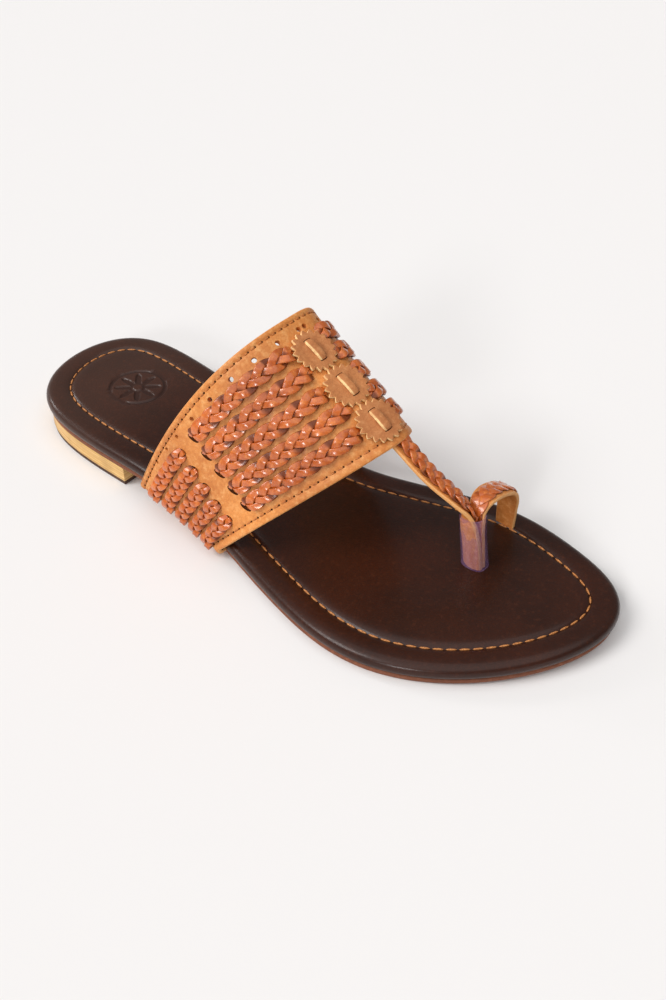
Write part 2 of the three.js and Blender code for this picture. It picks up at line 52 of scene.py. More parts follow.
# ---------------------------------------------------------------- the maker's pattern, mm
LENGTH = 250.0
HEEL_RISE = 8.5
TOE_SPRING = 2.4
SEAT_END, BALL_START, BALL_END = 0.275, 0.59, 0.76
OUTSOLE_THICK = 2.0
LIFT_THICK = 1.5
LIFT_STEP = 0.3
BLOCK_THICK = 6.4
HEEL_FRONT = 66.5
HEEL_INSET = 1.2
GAP = 0.3
STITCH_INSET = 10.0
VAMP_WALL = OUTSOLE_THICK
VAMP_TURN = 3.0
VAMP_EASE = 0.9
VAMP_REACH = 100.0
STRAP_THICK = 1.6
STRANDS = 3
PATCH_HEIGHT = 0.965
PATCH_RADIUS = 8.2
PATCH_TEETH = 18

# share of the length, sideways place of the middle line, half width over sin(angle)
OUTLINE = (
    (0.00, 1.1, 69.2),
    (0.12, -2.0, 49.1),
    (0.28, -4.4, 34.8),
    (0.45, -6.0, 30.7),
    (0.62, -6.2, 40.9),
    (0.78, -1.9, 55.4),
    (0.90, 4.0, 59.1),
    (1.00, 13.0, 60.6),
)

# the vamp's two edges: crown, where each foot meets the sole, shoulder squareness and bow
REAR_EDGE = dict(crown=(120.5, 3.5, 80.0), foot={-1: 80.6, 1: 88.0}, square={-1: 3.0, 1: 2.9}, bow=-0.17)
FRONT_EDGE = dict(crown=(170.0, 4.0, 52.0), foot={-1: 123.3, 1: 128.0}, square={-1: 1.68, 1: 1.9}, bow=-0.08)

# plait rows: across the vamp, the long plait's slit, the short plait's slit and its foot's place
PLAIT_ROWS = (
    (0.190, 0.415, 0.325, 0.195),
    (0.345, 0.390, 0.295, 0.365),
    (0.500, 0.366, 0.265, 0.535),
    (0.655, 0.346, 0.235, 0.705),
    (0.810, 0.327, 0.215, 0.870),
)
PATCHES_ACROSS = (0.265, 0.545, 0.825)

# middle lines of the two bands: x, y, z, width, turn of the width from across to along the foot
STRAP_ROUTE = (
    (156.0, 4.0, 56.9, 8.4, 0),
    (168.5, 4.2, 49.3, 7.8, 0),
    (180.0, 4.8, 41.4, 7.2, -5),
    (189.6, 6.8, 35.0, 6.8, -25),
    (193.9, 8.3, 29.6, 6.2, -60),
    (195.4, 8.9, 23.0, 6.0, -80),
    (196.8, 9.4, 15.0, 6.0, -84),
    (198.1, 9.8, 4.0, 6.0, -84),
)
LOOP_ROUTE = (
    (198.1, 11.3, 4.0, 6.0, -84),
    (196.8, 11.4, 15.0, 6.0, -84),
    (195.7, 11.7, 23.0, 6.0, -84),
    (195.2, 12.6, 28.0, 6.6, -86),
    (194.8, 15.8, 31.0, 8.0, -88),
    (194.5, 20.5, 31.0, 9.0, -90),
    (194.3, 26.5, 28.9, 9.2, -90),
    (194.2, 31.8, 25.6, 9.2, -90),
    (194.1, 34.7, 20.6, 8.8, -90),
    (194.0, 35.2, 14.0, 8.0, -90),
    (194.0, 35.2, 4.0, 7.4, -90),
)
# the clear sleeve: centre, length along the foot, width across it
SLEEVE_STATIONS = (
    (197.9, 10.6, 7.7, 9.5, 7.9),
    (197.2, 10.45, 13.0, 9.2, 7.7),
    (196.4, 10.3, 19.0, 9.0, 7.6),
    (195.9, 10.25, 24.0, 8.9, 7.6),
    (195.4, 10.2, 28.4, 8.9, 7.7),
)


# ---------------------------------------------------------------- curves of the pattern
def spline(xs, ys):
    """A natural cubic spline through (xs, ys), for arrays."""
    xs, ys = np.array(xs, float), np.array(ys, float)
    count, step = len(xs), np.diff(xs)
    system, right = np.eye(count), np.zeros(count)
    for i in range(1, count - 1):
        system[i, i - 1:i + 2] = step[i - 1], 2 * (step[i - 1] + step[i]), step[i]
        right[i] = 6 * ((ys[i + 1] - ys[i]) / step[i] - (ys[i] - ys[i - 1]) / step[i - 1])
    curve = np.linalg.solve(system, right)

    def value(x):
        x = np.asarray(x, float)
        i = np.clip(np.searchsorted(xs, x) - 1, 0, count - 2)
        a = (xs[i + 1] - x) / step[i]
        b = 1 - a
        lift = ((a**3 - a) * curve[i] + (b**3 - b) * curve[i + 1]) * step[i] ** 2 / 6
        return a * ys[i] + b * ys[i + 1] + lift

    return value


def mix(a, b, share):
    return a + (b - a) * share


def unit(vectors):
    return vectors / np.linalg.norm(vectors, axis=-1, keepdims=True)


def run_along(line):
    """Length of the way along a line of points, up to each of them."""
    return np.concatenate([[0], np.cumsum(np.linalg.norm(np.diff(line, axis=0), axis=1))])


def smooth(start, end, x):
    share = np.clip((np.asarray(x, float) - start) / (end - start), 0, 1)
    return share * share * (3 - 2 * share)


OUTLINE_SHARES, OUTLINE_BENDS, OUTLINE_HALVES = zip(*OUTLINE)
bend_at, half_at = spline(OUTLINE_SHARES, OUTLINE_BENDS), spline(OUTLINE_SHARES, OUTLINE_HALVES)


def sole_bottom(x):
    """Height of the outsole's underside above the floor."""
    share = np.asarray(x, float) / LENGTH
    toe = np.clip((share - BALL_END) / (1 - BALL_END), 0, None)
    return HEEL_RISE * (1 - smooth(SEAT_END, BALL_START, share)) + TOE_SPRING * toe**2


def outline_point(angle):
    share = (1 - np.cos(angle)) / 2
    return np.stack([LENGTH * share, bend_at(share) - np.sin(angle) * half_at(share)], -1)


def inset_point(angle, inset):
    """The outline moved in; angle runs from the heel round the outer side."""
    step = 0.001
    along = unit(outline_point(angle + step) - outline_point(angle - step))
    inward = np.stack([-along[..., 1], along[..., 0]], -1)
    return outline_point(angle) + inward * np.asarray(inset, float)[..., None]


def edge_at(x, side):
    angle = np.arccos(1 - 2 * np.asarray(x, float) / LENGTH)
    return bend_at(x / LENGTH) + side * np.sin(angle) * half_at(x / LENGTH)


OUTLINE_Y = outline_point(np.linspace(0, 2 * math.pi, 720))[:, 1]
FOOTBED_LOW, FOOTBED_HIGH = (np.array(corner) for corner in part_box("footbed"))
SHIFT = np.array([
    FOOTBED_LOW[0],
    (FOOTBED_LOW[1] + FOOTBED_HIGH[1]) / 2 - (OUTLINE_Y.min() + OUTLINE_Y.max()) / 2 * MM,
    0.0,
])


def place(points):
    """Pattern millimetres to frame metres."""
    return np.asarray(points, float) * MM + SHIFT


# ---------------------------------------------------------------- the vamp's surface
def vamp_line(across, side, count=160):
    """A line over one side of the vamp from its foot to the crown, and its foot's corner."""
    crown = [mix(a, b, across) for a, b in zip(REAR_EDGE["crown"], FRONT_EDGE["crown"])]
    foot_x = mix(REAR_EDGE["foot"][side], FRONT_EDGE["foot"][side], across)
    square = mix(REAR_EDGE["square"][side], FRONT_EDGE["square"][side], across)
    bow = mix(REAR_EDGE["bow"], FRONT_EDGE["bow"], across)
    bottom = float(sole_bottom(foot_x))
    foot_y = float(edge_at(foot_x, side)) + side * (VAMP_EASE + VAMP_WALL)
    angle = np.linspace(0, math.pi / 2, count)
    up = np.sin(angle) ** (2 / square)
    line = np.stack([
        mix(foot_x, crown[0], up + bow * up * (1 - up)),
        mix(crown[1], foot_y, np.clip(np.cos(angle), 0, None) ** (2 / square)),
        mix(bottom + VAMP_TURN, crown[2], up),
    ], -1)
    return line, np.array([foot_x, foot_y, bottom])


def along_line(line, shares):
    lengths = run_along(line)
    goal = np.asarray(shares) * lengths[-1]
    return np.stack([np.interp(goal, lengths, line[:, axis]) for axis in range(3)], -1)


def grid_cell(marks, values):
    """The even mark below each value, and the share of the way from it to the next mark."""
    steps = np.clip((values - marks[0]) / (marks[1] - marks[0]), 0, len(marks) - 1.001)
    below = steps.astype(int)
    return below, (steps - below)[..., None]


class VampSurface:
    """The vamp's outer face as a grid: across 0 rear to 1 front, up 0 outer foot, 1 crown,
    2 inner foot, and past both feet round the turn under the sole and along the tuck."""

    def __init__(self):
        self.across = np.linspace(-0.06, 1.06, 113)
        self.up = np.linspace(-0.12, 2.12, 897)
        self.points = np.array([self.row(across) for across in self.across])
        self.normals = unit(np.cross(np.gradient(self.points, axis=0), np.gradient(self.points, axis=1)))

    def row(self, across):
        row = np.zeros((len(self.up), 3))
        for side, depth in ((-1, -self.up), (1, self.up - 2)):
            line, foot = vamp_line(across, side)
            wall = (depth <= 0) & (depth >= -1)
            row[wall] = along_line(line, -depth[wall])
            past = depth > 0
            run = depth[past] * VAMP_REACH
            angle = np.minimum(run / VAMP_TURN, math.pi / 2)
            tuck = np.maximum(run - VAMP_TURN * math.pi / 2, 0)
            centre_y, centre_z = foot[1] - side * VAMP_TURN, foot[2] + VAMP_TURN
            row[past] = np.stack([
                np.full(len(run), foot[0]),
                centre_y + side * (VAMP_TURN * np.cos(angle) - tuck),
                centre_z - VAMP_TURN * np.sin(angle),
            ], -1)
        return row

    def at(self, across, up, rise=0.0):
        """Points held off the surface by rise, for arrays of places."""
        across, up = np.broadcast_arrays(np.asarray(across, float), np.asarray(up, float))
        (i0, a), (j0, b) = grid_cell(self.across, across), grid_cell(self.up, up)

        def sample(grid):
            low = grid[i0, j0] * (1 - b) + grid[i0, j0 + 1] * b
            high = grid[i0 + 1, j0] * (1 - b) + grid[i0 + 1, j0 + 1] * b
            return low * (1 - a) + high * a

        return sample(self.points) + unit(sample(self.normals)) * np.asarray(rise, float)[..., None]

    def reach(self, across, up):
        """Millimetres to one unit of across, and to one unit of up, at a place."""
        step = 0.01
        forward = np.linalg.norm(self.at(across + step, up) - self.at(across - step, up), axis=-1)
        over = np.linalg.norm(self.at(across, up + step) - self.at(across, up - step), axis=-1)
        return forward / (2 * step), over / (2 * step)


VAMP = VampSurface()


# ---------------------------------------------------------------- mesh helpers
def shown(name, data):
    """A new object in the scene."""
    item = bpy.data.objects.new(name, data)
    bpy.context.scene.collection.objects.link(item)
    return item


def mark(mesh, name, values, kind="FLOAT", field="value"):
    """Keeps a number or a direction at each point of a mesh."""
    mesh.attributes.new(name, kind, "POINT").data.foreach_set(field, np.asarray(values, "f").ravel())


def add_mesh(name, points, faces, material, cut=None, sharp=None):
    """A closed piece from pattern points and faces, turned outwards; cut marks where a cut edge
    of the hide shows, and an edge over sharp degrees stays crisp."""
    mesh = bpy.data.meshes.new(name)
    mesh.from_pydata([tuple(point) for point in place(points)], [], faces)
    mesh.materials.append(material)
    if cut is not None:
        mark(mesh, "cut", cut)
    mesh.shade_smooth()
    if sharp is not None:
        mesh.set_sharp_from_angle(angle=math.radians(sharp))
    return recalculated(shown(name, mesh))


def recalculated(piece):
    """Turns every face of a closed mesh outwards."""
    mesh = bmesh.new()
    mesh.from_mesh(piece.data)
    bmesh.ops.recalc_face_normals(mesh, faces=mesh.faces)
    mesh.to_mesh(piece.data)
    mesh.free()
    return piece


def loop_faces(rings, size):
    """Quads between rings of size points each, numbered one ring after the other."""
    faces = []
    for ring in range(rings - 1):
        for i in range(size):
            j = (i + 1) % size
            low, high = ring * size, (ring + 1) * size
            faces.append((low + i, low + j, high + j, high + i))
    return faces


def closed_faces(rings, size):
    """Quads between rings, and one face over each end."""
    last = list(range((rings - 1) * size, rings * size))
    return loop_faces(rings, size) + [tuple(reversed(range(size))), tuple(last)]


def add_rings(name, rings, material, cut=None, sharp=None):
    """A piece through rings of pattern points."""
    faces = closed_faces(len(rings), len(rings[0]))
    return add_mesh(name, np.concatenate(rings), faces, material, cut, sharp)


def finish_piece(piece, slot, *nodes):
    """Hangs a piece under the root body and hides the CAD nodes that it stands for; the finish, slot, is not
    used.
    """
    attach(piece, "root")
    if nodes:
        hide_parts(*nodes)
    return piece


# ---------------------------------------------------------------- shader maths
class Wire:
    """A node's output that takes Python's operators."""

    def __init__(self, paint, socket):
        self.paint, self.socket = paint, socket

    def maths(self, operation, *values):
        return self.paint.node("ShaderNodeMath", {"operation": operation}, dict(enumerate(values)))

    def __add__(self, other):
        return self.maths("ADD", self, other)

    def __sub__(self, other):
        return self.maths("SUBTRACT", self, other)

    def __rsub__(self, other):
        return self.maths("SUBTRACT", other, self)

    def __mul__(self, other):
        return self.maths("MULTIPLY", self, other)

    __radd__ = __add__
    __rmul__ = __mul__

    def step(self, low, high):
        """0 below low and 1 above high, smoothly between."""
        values = {"Value": self, "From Min": low, "From Max": high}
        return self.paint.node("ShaderNodeMapRange", {"interpolation_type": "SMOOTHSTEP"}, values)


class Paint:
    """One material's node tree."""

    def __init__(self, name):
        self.material = bpy.data.materials.new(name)
        self.material.use_nodes = True
        self.tree = self.material.node_tree
        self.shader = self.tree.nodes["Principled BSDF"]
        self.place = self.node("ShaderNodeTexCoord", out="Object")

    def node(self, kind, settings=None, values=None, out=0):
        """A node's output, after its settings and then its sockets are set."""
        node = self.tree.nodes.new(kind)
        for key, value in (settings or {}).items():
            setattr(node, key, value)
        for key, value in (values or {}).items():
            self.feed(node.inputs[key], value)
        return Wire(self, node.outputs[out])

    def feed(self, socket, value):
        if isinstance(value, Wire):
            self.tree.links.new(value.socket, socket)
        elif isinstance(value, tuple) and len(value) == 3 and socket.type == "RGBA":
            socket.default_value = (*value, 1)
        else:
            socket.default_value = value

    def set(self, **values):
        """Feeds the shader's own sockets, an underscore standing for each space of their names."""
        for key, value in values.items():
            self.feed(self.shader.inputs[key.replace("_", " ")], value)

    def noise(self, per_metre, detail=3.0, rough=0.55, stretch=None):
        where = self.place
        if stretch is not None:
            where = self.node("ShaderNodeMapping", None, {"Vector": where, "Scale": stretch})
        values = {"Vector": where, "Scale": per_metre, "Detail": detail, "Roughness": rough}
        return self.node("ShaderNodeTexNoise", None, values, out="Fac")

    def cells(self, per_metre, feature="F1"):
        values = {"Vector": self.place, "Scale": per_metre}
        return self.node("ShaderNodeTexVoronoi", {"feature": feature}, values, out="Distance")

    def attribute(self, name):
        return self.node("ShaderNodeAttribute", {"attribute_name": name}, out="Fac")

    def blend(self, factor, first, second):
        """From the first colour at factor 0 to the second at 1."""
        return self.node("ShaderNodeMix", {"data_type": "RGBA"}, {0: factor, 6: first, 7: second}, out=2)

    def bump(self, height, strength, distance):
        """A Bump node's normal for a height of distance in mm."""
        values = {"Height": height, "Strength": strength, "Distance": distance * MM}
        return self.node("ShaderNodeBump", None, values)


def shade(red, green, blue):
    """A screen colour, 0 to 255, as linear light."""
    return tuple(((value / 255 + 0.055) / 1.055) ** 2.4 for value in (red, green, blue))


def dyes(**tones):
    return {name: shade(*tone) for name, tone in tones.items()}


def leather(name, deep, base, light, cut, recess=(0, 0, 0), grain=1.0, roughness=0.5, gloss=0.0, depth=1.0):
    """Dyed hide: cloudy colour, pebbled grain with creases, a pale fibrous cut edge, and painted
    shade that darkens the recesses and takes the coat's gloss away there."""
    paint = Paint(name)
    cloud = paint.noise(38, detail=4).step(0.32, 0.7)
    mottle = paint.noise(420 * grain, detail=5, rough=0.65)
    pebble = paint.cells(1050 * grain)
    crease = paint.cells(620 * grain, feature="DISTANCE_TO_EDGE").step(0.0, 0.09)
    fibre = paint.noise(2600, detail=2)
    color = paint.blend(cloud, paint.blend(0.5, base, deep), base)
    color = paint.blend(mottle.step(0.46, 0.74) * 0.55, color, light)
    color = paint.blend((1 - crease) * 0.28 + mottle.step(0.52, 0.3) * 0.3, color, deep)
    # painted shade: where a plait marks its gaps and lace undersides, the colour goes dark and the coat's
    # gloss goes
    shaded = paint.attribute("recess")
    color = paint.blend(shaded * 0.82, color, recess)
    edge = paint.attribute("cut")
    edge_color = paint.blend(paint.noise(900, detail=4).step(0.35, 0.7), cut, paint.blend(0.55, cut, base))
    color = paint.blend(edge.step(0.35, 0.75), color, edge_color)
    rough = roughness + (mottle - 0.5) * 0.22 + (1 - crease) * 0.1 + edge * 0.25
    height = crease * 0.5 - pebble * 0.45 + mottle * 0.5 + fibre * (0.16 + edge * 0.5)
    paint.set(Base_Color=color, Roughness=rough, Normal=paint.bump(height, 0.55, 0.09 * depth))
    paint.set(Coat_Weight=(1 - shaded * 0.95) * gloss, Coat_Roughness=0.16, Specular_IOR_Level=0.42)
    return paint.material


def thread(name, base, deep):
    """Waxed thread with its twist."""
    paint = Paint(name)
    twist = paint.noise(2400, detail=2, stretch=(1.0, 1.0, 2.2))
    color = paint.blend(twist.step(0.35, 0.65), deep, base)
    paint.set(Base_Color=color, Roughness=0.62 + (twist - 0.5) * 0.2, Normal=paint.bump(twist, 0.5, 0.08))
    return paint.material


def satin_gold(name):
    """A thin metallic coat rubbed over stacked board, so fine layers and brush marks show."""
    paint = Paint(name)
    layers = paint.noise(240, detail=3, stretch=(0.12, 0.12, 7.0))
    scuff = paint.noise(90, detail=5).step(0.42, 0.72)
    speck = paint.noise(1800, detail=2)
    color = paint.blend(layers.step(0.35, 0.7), shade(214, 166, 96), shade(244, 206, 138))
    color = paint.blend(scuff * 0.35, color, shade(168, 128, 82))
    paint.set(Base_Color=color, Metallic=0.35, Roughness=0.4 + scuff * 0.14 + (speck - 0.5) * 0.1)
    paint.set(Normal=paint.bump(layers * 0.7 + speck * 0.4, 0.4, 0.05))
    return paint.material


def rubber(name, deep, base, worn, shine=0.5):
    """Dull rubber, speckled, with rubbed places; with no shine it is the painted shade in a hole."""
    paint = Paint(name)
    speck = paint.noise(1500, detail=3)
    wear = paint.noise(120, detail=4).step(0.5, 0.75)
    color = paint.blend(speck.step(0.35, 0.7), deep, base)
    paint.set(Base_Color=paint.blend(wear * 0.4, color, worn), Roughness=0.72 + (speck - 0.5) * 0.2)
    paint.set(Normal=paint.bump(speck, 0.5, 0.08), Specular_IOR_Level=shine)
    return paint.material


def clear_tube(name):
    """Flexible clear tube with a faint violet cast and soft drawn streaks."""
    paint = Paint(name)
    streak = paint.noise(700, detail=3, stretch=(1.0, 1.0, 0.08))
    haze = paint.noise(160, detail=3)
    color = paint.blend(streak.step(0.3, 0.7), shade(128, 92, 150), shade(176, 140, 190))
    paint.set(Base_Color=color, Roughness=0.06 + haze * 0.1, Alpha=0.13 + streak * 0.12)
    paint.set(IOR=1.5, Specular_IOR_Level=0.7, Normal=paint.bump(streak, 0.25, 0.05))
    return paint.material


def footbed_leather(name):
    """Dark polished hide, a little paler on the heel's seat with painted sheen, and darker in the rosette's
    stamp.
    """
    paint = Paint(name)
    cloud = paint.noise(30, detail=4).step(0.3, 0.72)
    grain = paint.cells(1250)
    crease = paint.cells(760, feature="DISTANCE_TO_EDGE").step(0.0, 0.12)
    mottle = paint.noise(520, detail=5, rough=0.62)
    fine = paint.noise(3200, detail=2)
    color = paint.blend(cloud, shade(40, 17, 8), shade(56, 24, 11))
    color = paint.blend(mottle.step(0.5, 0.8) * 0.45, color, shade(84, 42, 22))
    color = paint.blend((1 - crease) * 0.35, color, shade(28, 14, 10))
    # painted sheen: the heel end of the bed is blended a little paler
    along = paint.node("ShaderNodeSeparateXYZ", None, {"Vector": paint.place}, out="X")
    color = paint.blend(along.step(-0.05, -0.1) * 0.2, color, shade(104, 76, 64))
    stamp = paint.attribute("stamp")
    color = paint.blend(stamp * 0.45, color, shade(36, 21, 18))
    height = crease * 0.5 - grain * 0.4 + mottle * 0.5 + fine * 0.14
    paint.set(Base_Color=color, Roughness=0.34 + (mottle - 0.5) * 0.2 + (1 - crease) * 0.1 + stamp * 0.06)
    paint.set(Normal=paint.bump(height, 0.5, 0.085), Coat_Weight=0.26, Coat_Roughness=0.2)
    paint.set(Specular_IOR_Level=0.2)
    return paint.material


TAN = dyes(deep=(176, 96, 42), base=(227, 147, 73), light=(245, 187, 120), cut=(230, 172, 110))
# the plait's last tone is painted shade for the gaps and undersides of its laces
RUST = dyes(deep=(146, 60, 16), base=(212, 108, 42), light=(238, 150, 76), cut=(196, 120, 72),
            recess=(84, 32, 10))
PATCH = dyes(deep=(158, 92, 50), base=(202, 130, 76), light=(222, 158, 104), cut=(250, 216, 156))
SOLE = dyes(deep=(92, 50, 32), base=(132, 78, 54), light=(160, 104, 76), cut=(150, 92, 64))
RUBBER = dyes(deep=(62, 40, 32), base=(88, 60, 48), worn=(112, 82, 68))
SHADOW = dyes(deep=(52, 26, 14), base=(78, 42, 24), worn=(96, 56, 34))
BED_THREAD = dyes(base=(214, 146, 82), deep=(150, 86, 40))
VAMP_THREAD = dyes(base=(206, 128, 62), deep=(156, 88, 40))

MATERIALS = {
    "vamp": leather("tan vamp hide", **TAN, grain=1.1, roughness=0.5, gloss=0.03),
    "plait": leather("polished plait lace", **RUST, grain=1.3, roughness=0.24, gloss=0.75, depth=0.5),
    "patch": leather("matte patch hide", **PATCH, roughness=0.66),
    "outsole": leather("outsole edge", **SOLE, grain=1.2, roughness=0.6, depth=1.4),
    "footbed": footbed_leather("espresso footbed hide"),
    "heel": satin_gold("satin gold heel coat"),
    "lift": rubber("heel lift rubber", **RUBBER),
    "sleeve": clear_tube("clear toe sleeve"),
    "footbed thread": thread("footbed thread", **BED_THREAD),
    "vamp thread": thread("vamp thread", **VAMP_THREAD),
    "needle hole": rubber("needle hole shadow", **SHADOW, shine=0.0),
}


# ---------------------------------------------------------------- geometry node trees
class Tree:
    """A geometry node tree with named inputs: objects, numbers and the material."""

    def __init__(self, name, numbers, objects=()):
        self.group = bpy.data.node_groups.new(name, "GeometryNodeTree")
        sockets = [("Geometry", "Geometry"), *((label, "Object") for label in objects)]
        sockets += [*((label, "Float") for label in numbers), ("Material", "Material")]
        for label, kind in sockets:
            self.group.interface.new_socket(label, in_out="INPUT", socket_type="NodeSocket" + kind)
        self.group.interface.new_socket("Geometry", in_out="OUTPUT", socket_type="NodeSocketGeometry")
        self.start = self.group.nodes.new("NodeGroupInput")
        self.end = self.group.nodes.new("NodeGroupOutput")

    def input(self, label):
        return self.start.outputs[label]

    def add(self, kind, settings=None, values=None, out=0):
        node = self.group.nodes.new(kind)
        for key, value in (settings or {}).items():
            setattr(node, key, value)
        for key, value in (values or {}).items():
            for item in value if isinstance(value, list) else [value]:
                if isinstance(item, bpy.types.NodeSocket):
                    self.group.links.new(item, node.inputs[key])
                else:
                    node.inputs[key].default_value = item
        return node.outputs[out]

    def maths(self, operation, *values):
        return self.add("ShaderNodeMath", {"operation": operation}, dict(enumerate(values)))

    def finish(self, geometry, smoothed=True):
        """Ends the tree with plain geometry in the input material."""
        if smoothed:
            geometry = self.add("GeometryNodeSetShadeSmooth", None, {0: geometry})
        real = self.add("GeometryNodeRealizeInstances", None, {0: geometry})
        values = {"Geometry": real, "Material": self.input("Material")}
        self.group.links.new(self.add("GeometryNodeSetMaterial", None, values), self.end.inputs[0])
        return self.group


LACE_ROUNDING = 0.42
POINTS_PER_PITCH = 26.0
PUNCH_DEPTH = 8.0


def plait_tree():
    """A straight three-strand plait along X, in millimetres: Y across it and Z up."""
    tree = Tree("three-strand plait", ("Length", "Pitch", "Swing", "Lift", "Lace Width", "Lace Thickness"))
    lace = tree.add("GeometryNodeCurvePrimitiveQuadrilateral", {"mode": "RECTANGLE"}, {
        "Width": tree.input("Lace Width"), "Height": tree.input("Lace Thickness"),
    })
    corner = tree.maths("MULTIPLY", tree.input("Lace Thickness"), LACE_ROUNDING)
    values = {"Curve": lace, "Count": 3, "Radius": corner}
    lace = tree.add("GeometryNodeFilletCurve", {"mode": "POLY"}, values)
    end = tree.add("ShaderNodeCombineXYZ", None, {"X": tree.input("Length")})
    line = tree.add("GeometryNodeCurvePrimitiveLine", {"mode": "POINTS"}, {"Start": (0, 0, 0), "End": end})
    turns = tree.maths("DIVIDE", tree.input("Length"), tree.input("Pitch"))
    count = tree.maths("MULTIPLY", turns, POINTS_PER_PITCH)
    fine = tree.add("GeometryNodeResampleCurve", None, {"Curve": line, "Count": count})
    x = tree.add("ShaderNodeSeparateXYZ", None, {0: tree.add("GeometryNodeInputPosition")})
    turn = tree.maths("MULTIPLY", tree.maths("DIVIDE", x, tree.input("Pitch")), 2 * math.pi)
    strands = []
    for strand in range(STRANDS):
        phase = tree.maths("ADD", turn, 2 * math.pi * strand / STRANDS)
        swing = tree.maths("MULTIPLY", tree.maths("SINE", phase), tree.input("Swing"))
        twice = tree.maths("MULTIPLY", phase, 2.0)
        lift = tree.maths("MULTIPLY", tree.maths("SINE", twice), tree.input("Lift"))
        shift = tree.add("ShaderNodeCombineXYZ", None, {"Y": swing, "Z": lift})
        curve = tree.add("GeometryNodeSetPosition", None, {"Geometry": fine, "Offset": shift})
        curve = tree.add("GeometryNodeSetCurveNormal", {"mode": "Z_UP"}, {"Curve": curve})
        values = {"Curve": curve, "Profile Curve": lace, "Fill Caps": True}
        strands.append(tree.add("GeometryNodeCurveToMesh", None, values))
    return tree.finish(tree.add("GeometryNodeJoinGeometry", None, {0: strands}))


def stitch_tree():
    """Small capsules laid end to end along a path, or single dots where Length is short."""
    tree = Tree("stitch row", ("Pitch", "Length", "Thickness", "Start"))
    path = tree.add("GeometryNodeMeshToCurve", None, {0: tree.input("Geometry")})
    whole = tree.add("GeometryNodeCurveLength", None, {0: path})
    ends = {0: path, 4: tree.input("Start"), 5: whole}
    trimmed = tree.add("GeometryNodeTrimCurve", {"mode": "LENGTH"}, ends)
    points = tree.add("GeometryNodeResampleCurve", {"mode": "LENGTH"}, {
        "Curve": trimmed, "Length": tree.input("Pitch"),
    })
    bead = tree.add("GeometryNodeMeshUVSphere", None, {"Segments": 8, "Rings": 6, "Radius": 0.5})
    size = tree.add("ShaderNodeCombineXYZ", None, {
        "X": tree.input("Length"), "Y": tree.input("Thickness"), "Z": tree.input("Thickness"),
    })
    bead = tree.add("GeometryNodeTransform", None, {"Geometry": bead, "Scale": size})
    tangent = tree.add("GeometryNodeInputTangent")
    turned = tree.add("FunctionNodeAlignRotationToVector", {"axis": "X"}, {"Vector": tangent})
    beads = tree.add("GeometryNodeInstanceOnPoints", None, {
        "Points": points, "Instance": bead, "Rotation": turned,
    })
    return tree.finish(beads)


def punch_tree():
    """Round holes cut through a hide at the points of another mesh, along their normals."""
    tree = Tree("punched holes", ("Radius",), objects=("Places",))
    places = tree.add("GeometryNodeObjectInfo", None, {0: tree.input("Places")}, out="Geometry")
    shape = {"Vertices": 14, "Radius": 1.0, "Depth": PUNCH_DEPTH * MM}
    punch = tree.add("GeometryNodeMeshCylinder", None, shape)
    facing = tree.add("GeometryNodeInputNamedAttribute", {"data_type": "FLOAT_VECTOR"}, {"Name": "facing"})
    turned = tree.add("FunctionNodeAlignRotationToVector", {"axis": "Z"}, {"Vector": facing})
    size = tree.add("GeometryNodeInputNamedAttribute", {"data_type": "FLOAT"}, {"Name": "size"})
    radius = tree.maths("MULTIPLY", size, tree.input("Radius"))
    scale = tree.add("ShaderNodeCombineXYZ", None, {"X": radius, "Y": radius, "Z": 1.0})
    punches = tree.add("GeometryNodeInstanceOnPoints", None, {
        "Points": places, "Instance": punch, "Rotation": turned, "Scale": scale,
    })
    real = tree.add("GeometryNodeRealizeInstances", None, {0: punches})
    values = {"Mesh 1": tree.input("Geometry"), "Mesh 2": real}
    cut = tree.add("GeometryNodeMeshBoolean", {"operation": "DIFFERENCE", "solver": "EXACT"}, values)
    return tree.finish(cut, smoothed=False)


def grown(name, source, group, **values):
    """The mesh that a geometry node tree makes from a source mesh, as a plain mesh."""
    piece = shown(name, source)
    modifier = piece.modifiers.new(name, "NODES")
    modifier.node_group = group
    for item in group.interface.items_tree:
        label = item.name.replace(" ", "_")
        if item.in_out == "INPUT" and label in values:
            modifier[item.identifier] = values[label]
    graph = bpy.context.evaluated_depsgraph_get()
    mesh = bpy.data.meshes.new_from_object(piece.evaluated_get(graph), depsgraph=graph)
    piece.modifiers.clear()
    piece.data = mesh
    mesh.name = name
    return piece


PLAIT_TREE, STITCH_TREE, PUNCH_TREE = plait_tree(), stitch_tree(), punch_tree()


def stitch_row(name, slot, material, path, closed, pitch, length, thickness, start=0.0):
    """A row of stitches along pattern points."""
    mesh = bpy.data.meshes.new(name)
    count = len(path)
    edges = [(i, (i + 1) % count) for i in range(count if closed else count - 1)]
    mesh.from_pydata([tuple(point) for point in place(path)], edges, [])
    values = dict(Pitch=pitch * MM, Length=length * MM, Thickness=thickness * MM, Start=start * MM)
    row = grown(name, mesh, STITCH_TREE, Material=MATERIALS[material], **values)
    return finish_piece(row, slot)


# ---------------------------------------------------------------- sole
def strip_faces(loop, columns, start, up):
    """Faces across a loop that is symmetric about its first point, through rows of inner points
    numbered from start, with columns points in each row."""
    half = len(loop) // 2
    rows = [[loop[0]] * (columns + 2)]
    for i in range(1, half):
        inner = list(range(start + (i - 1) * columns, start + i * columns))
        rows.append([loop[i], *inner, loop[-i]])
    rows.append([loop[half]] * (columns + 2))
    faces = []
    for low, high in zip(rows, rows[1:]):
        for k in range(columns + 1):
            corners = [low[k], high[k], high[k + 1], low[k + 1]]
            face = [corner for n, corner in enumerate(corners) if corner not in corners[:n]]
            if len(face) > 2:
                faces.append(tuple(face if up else reversed(face)))
    return faces


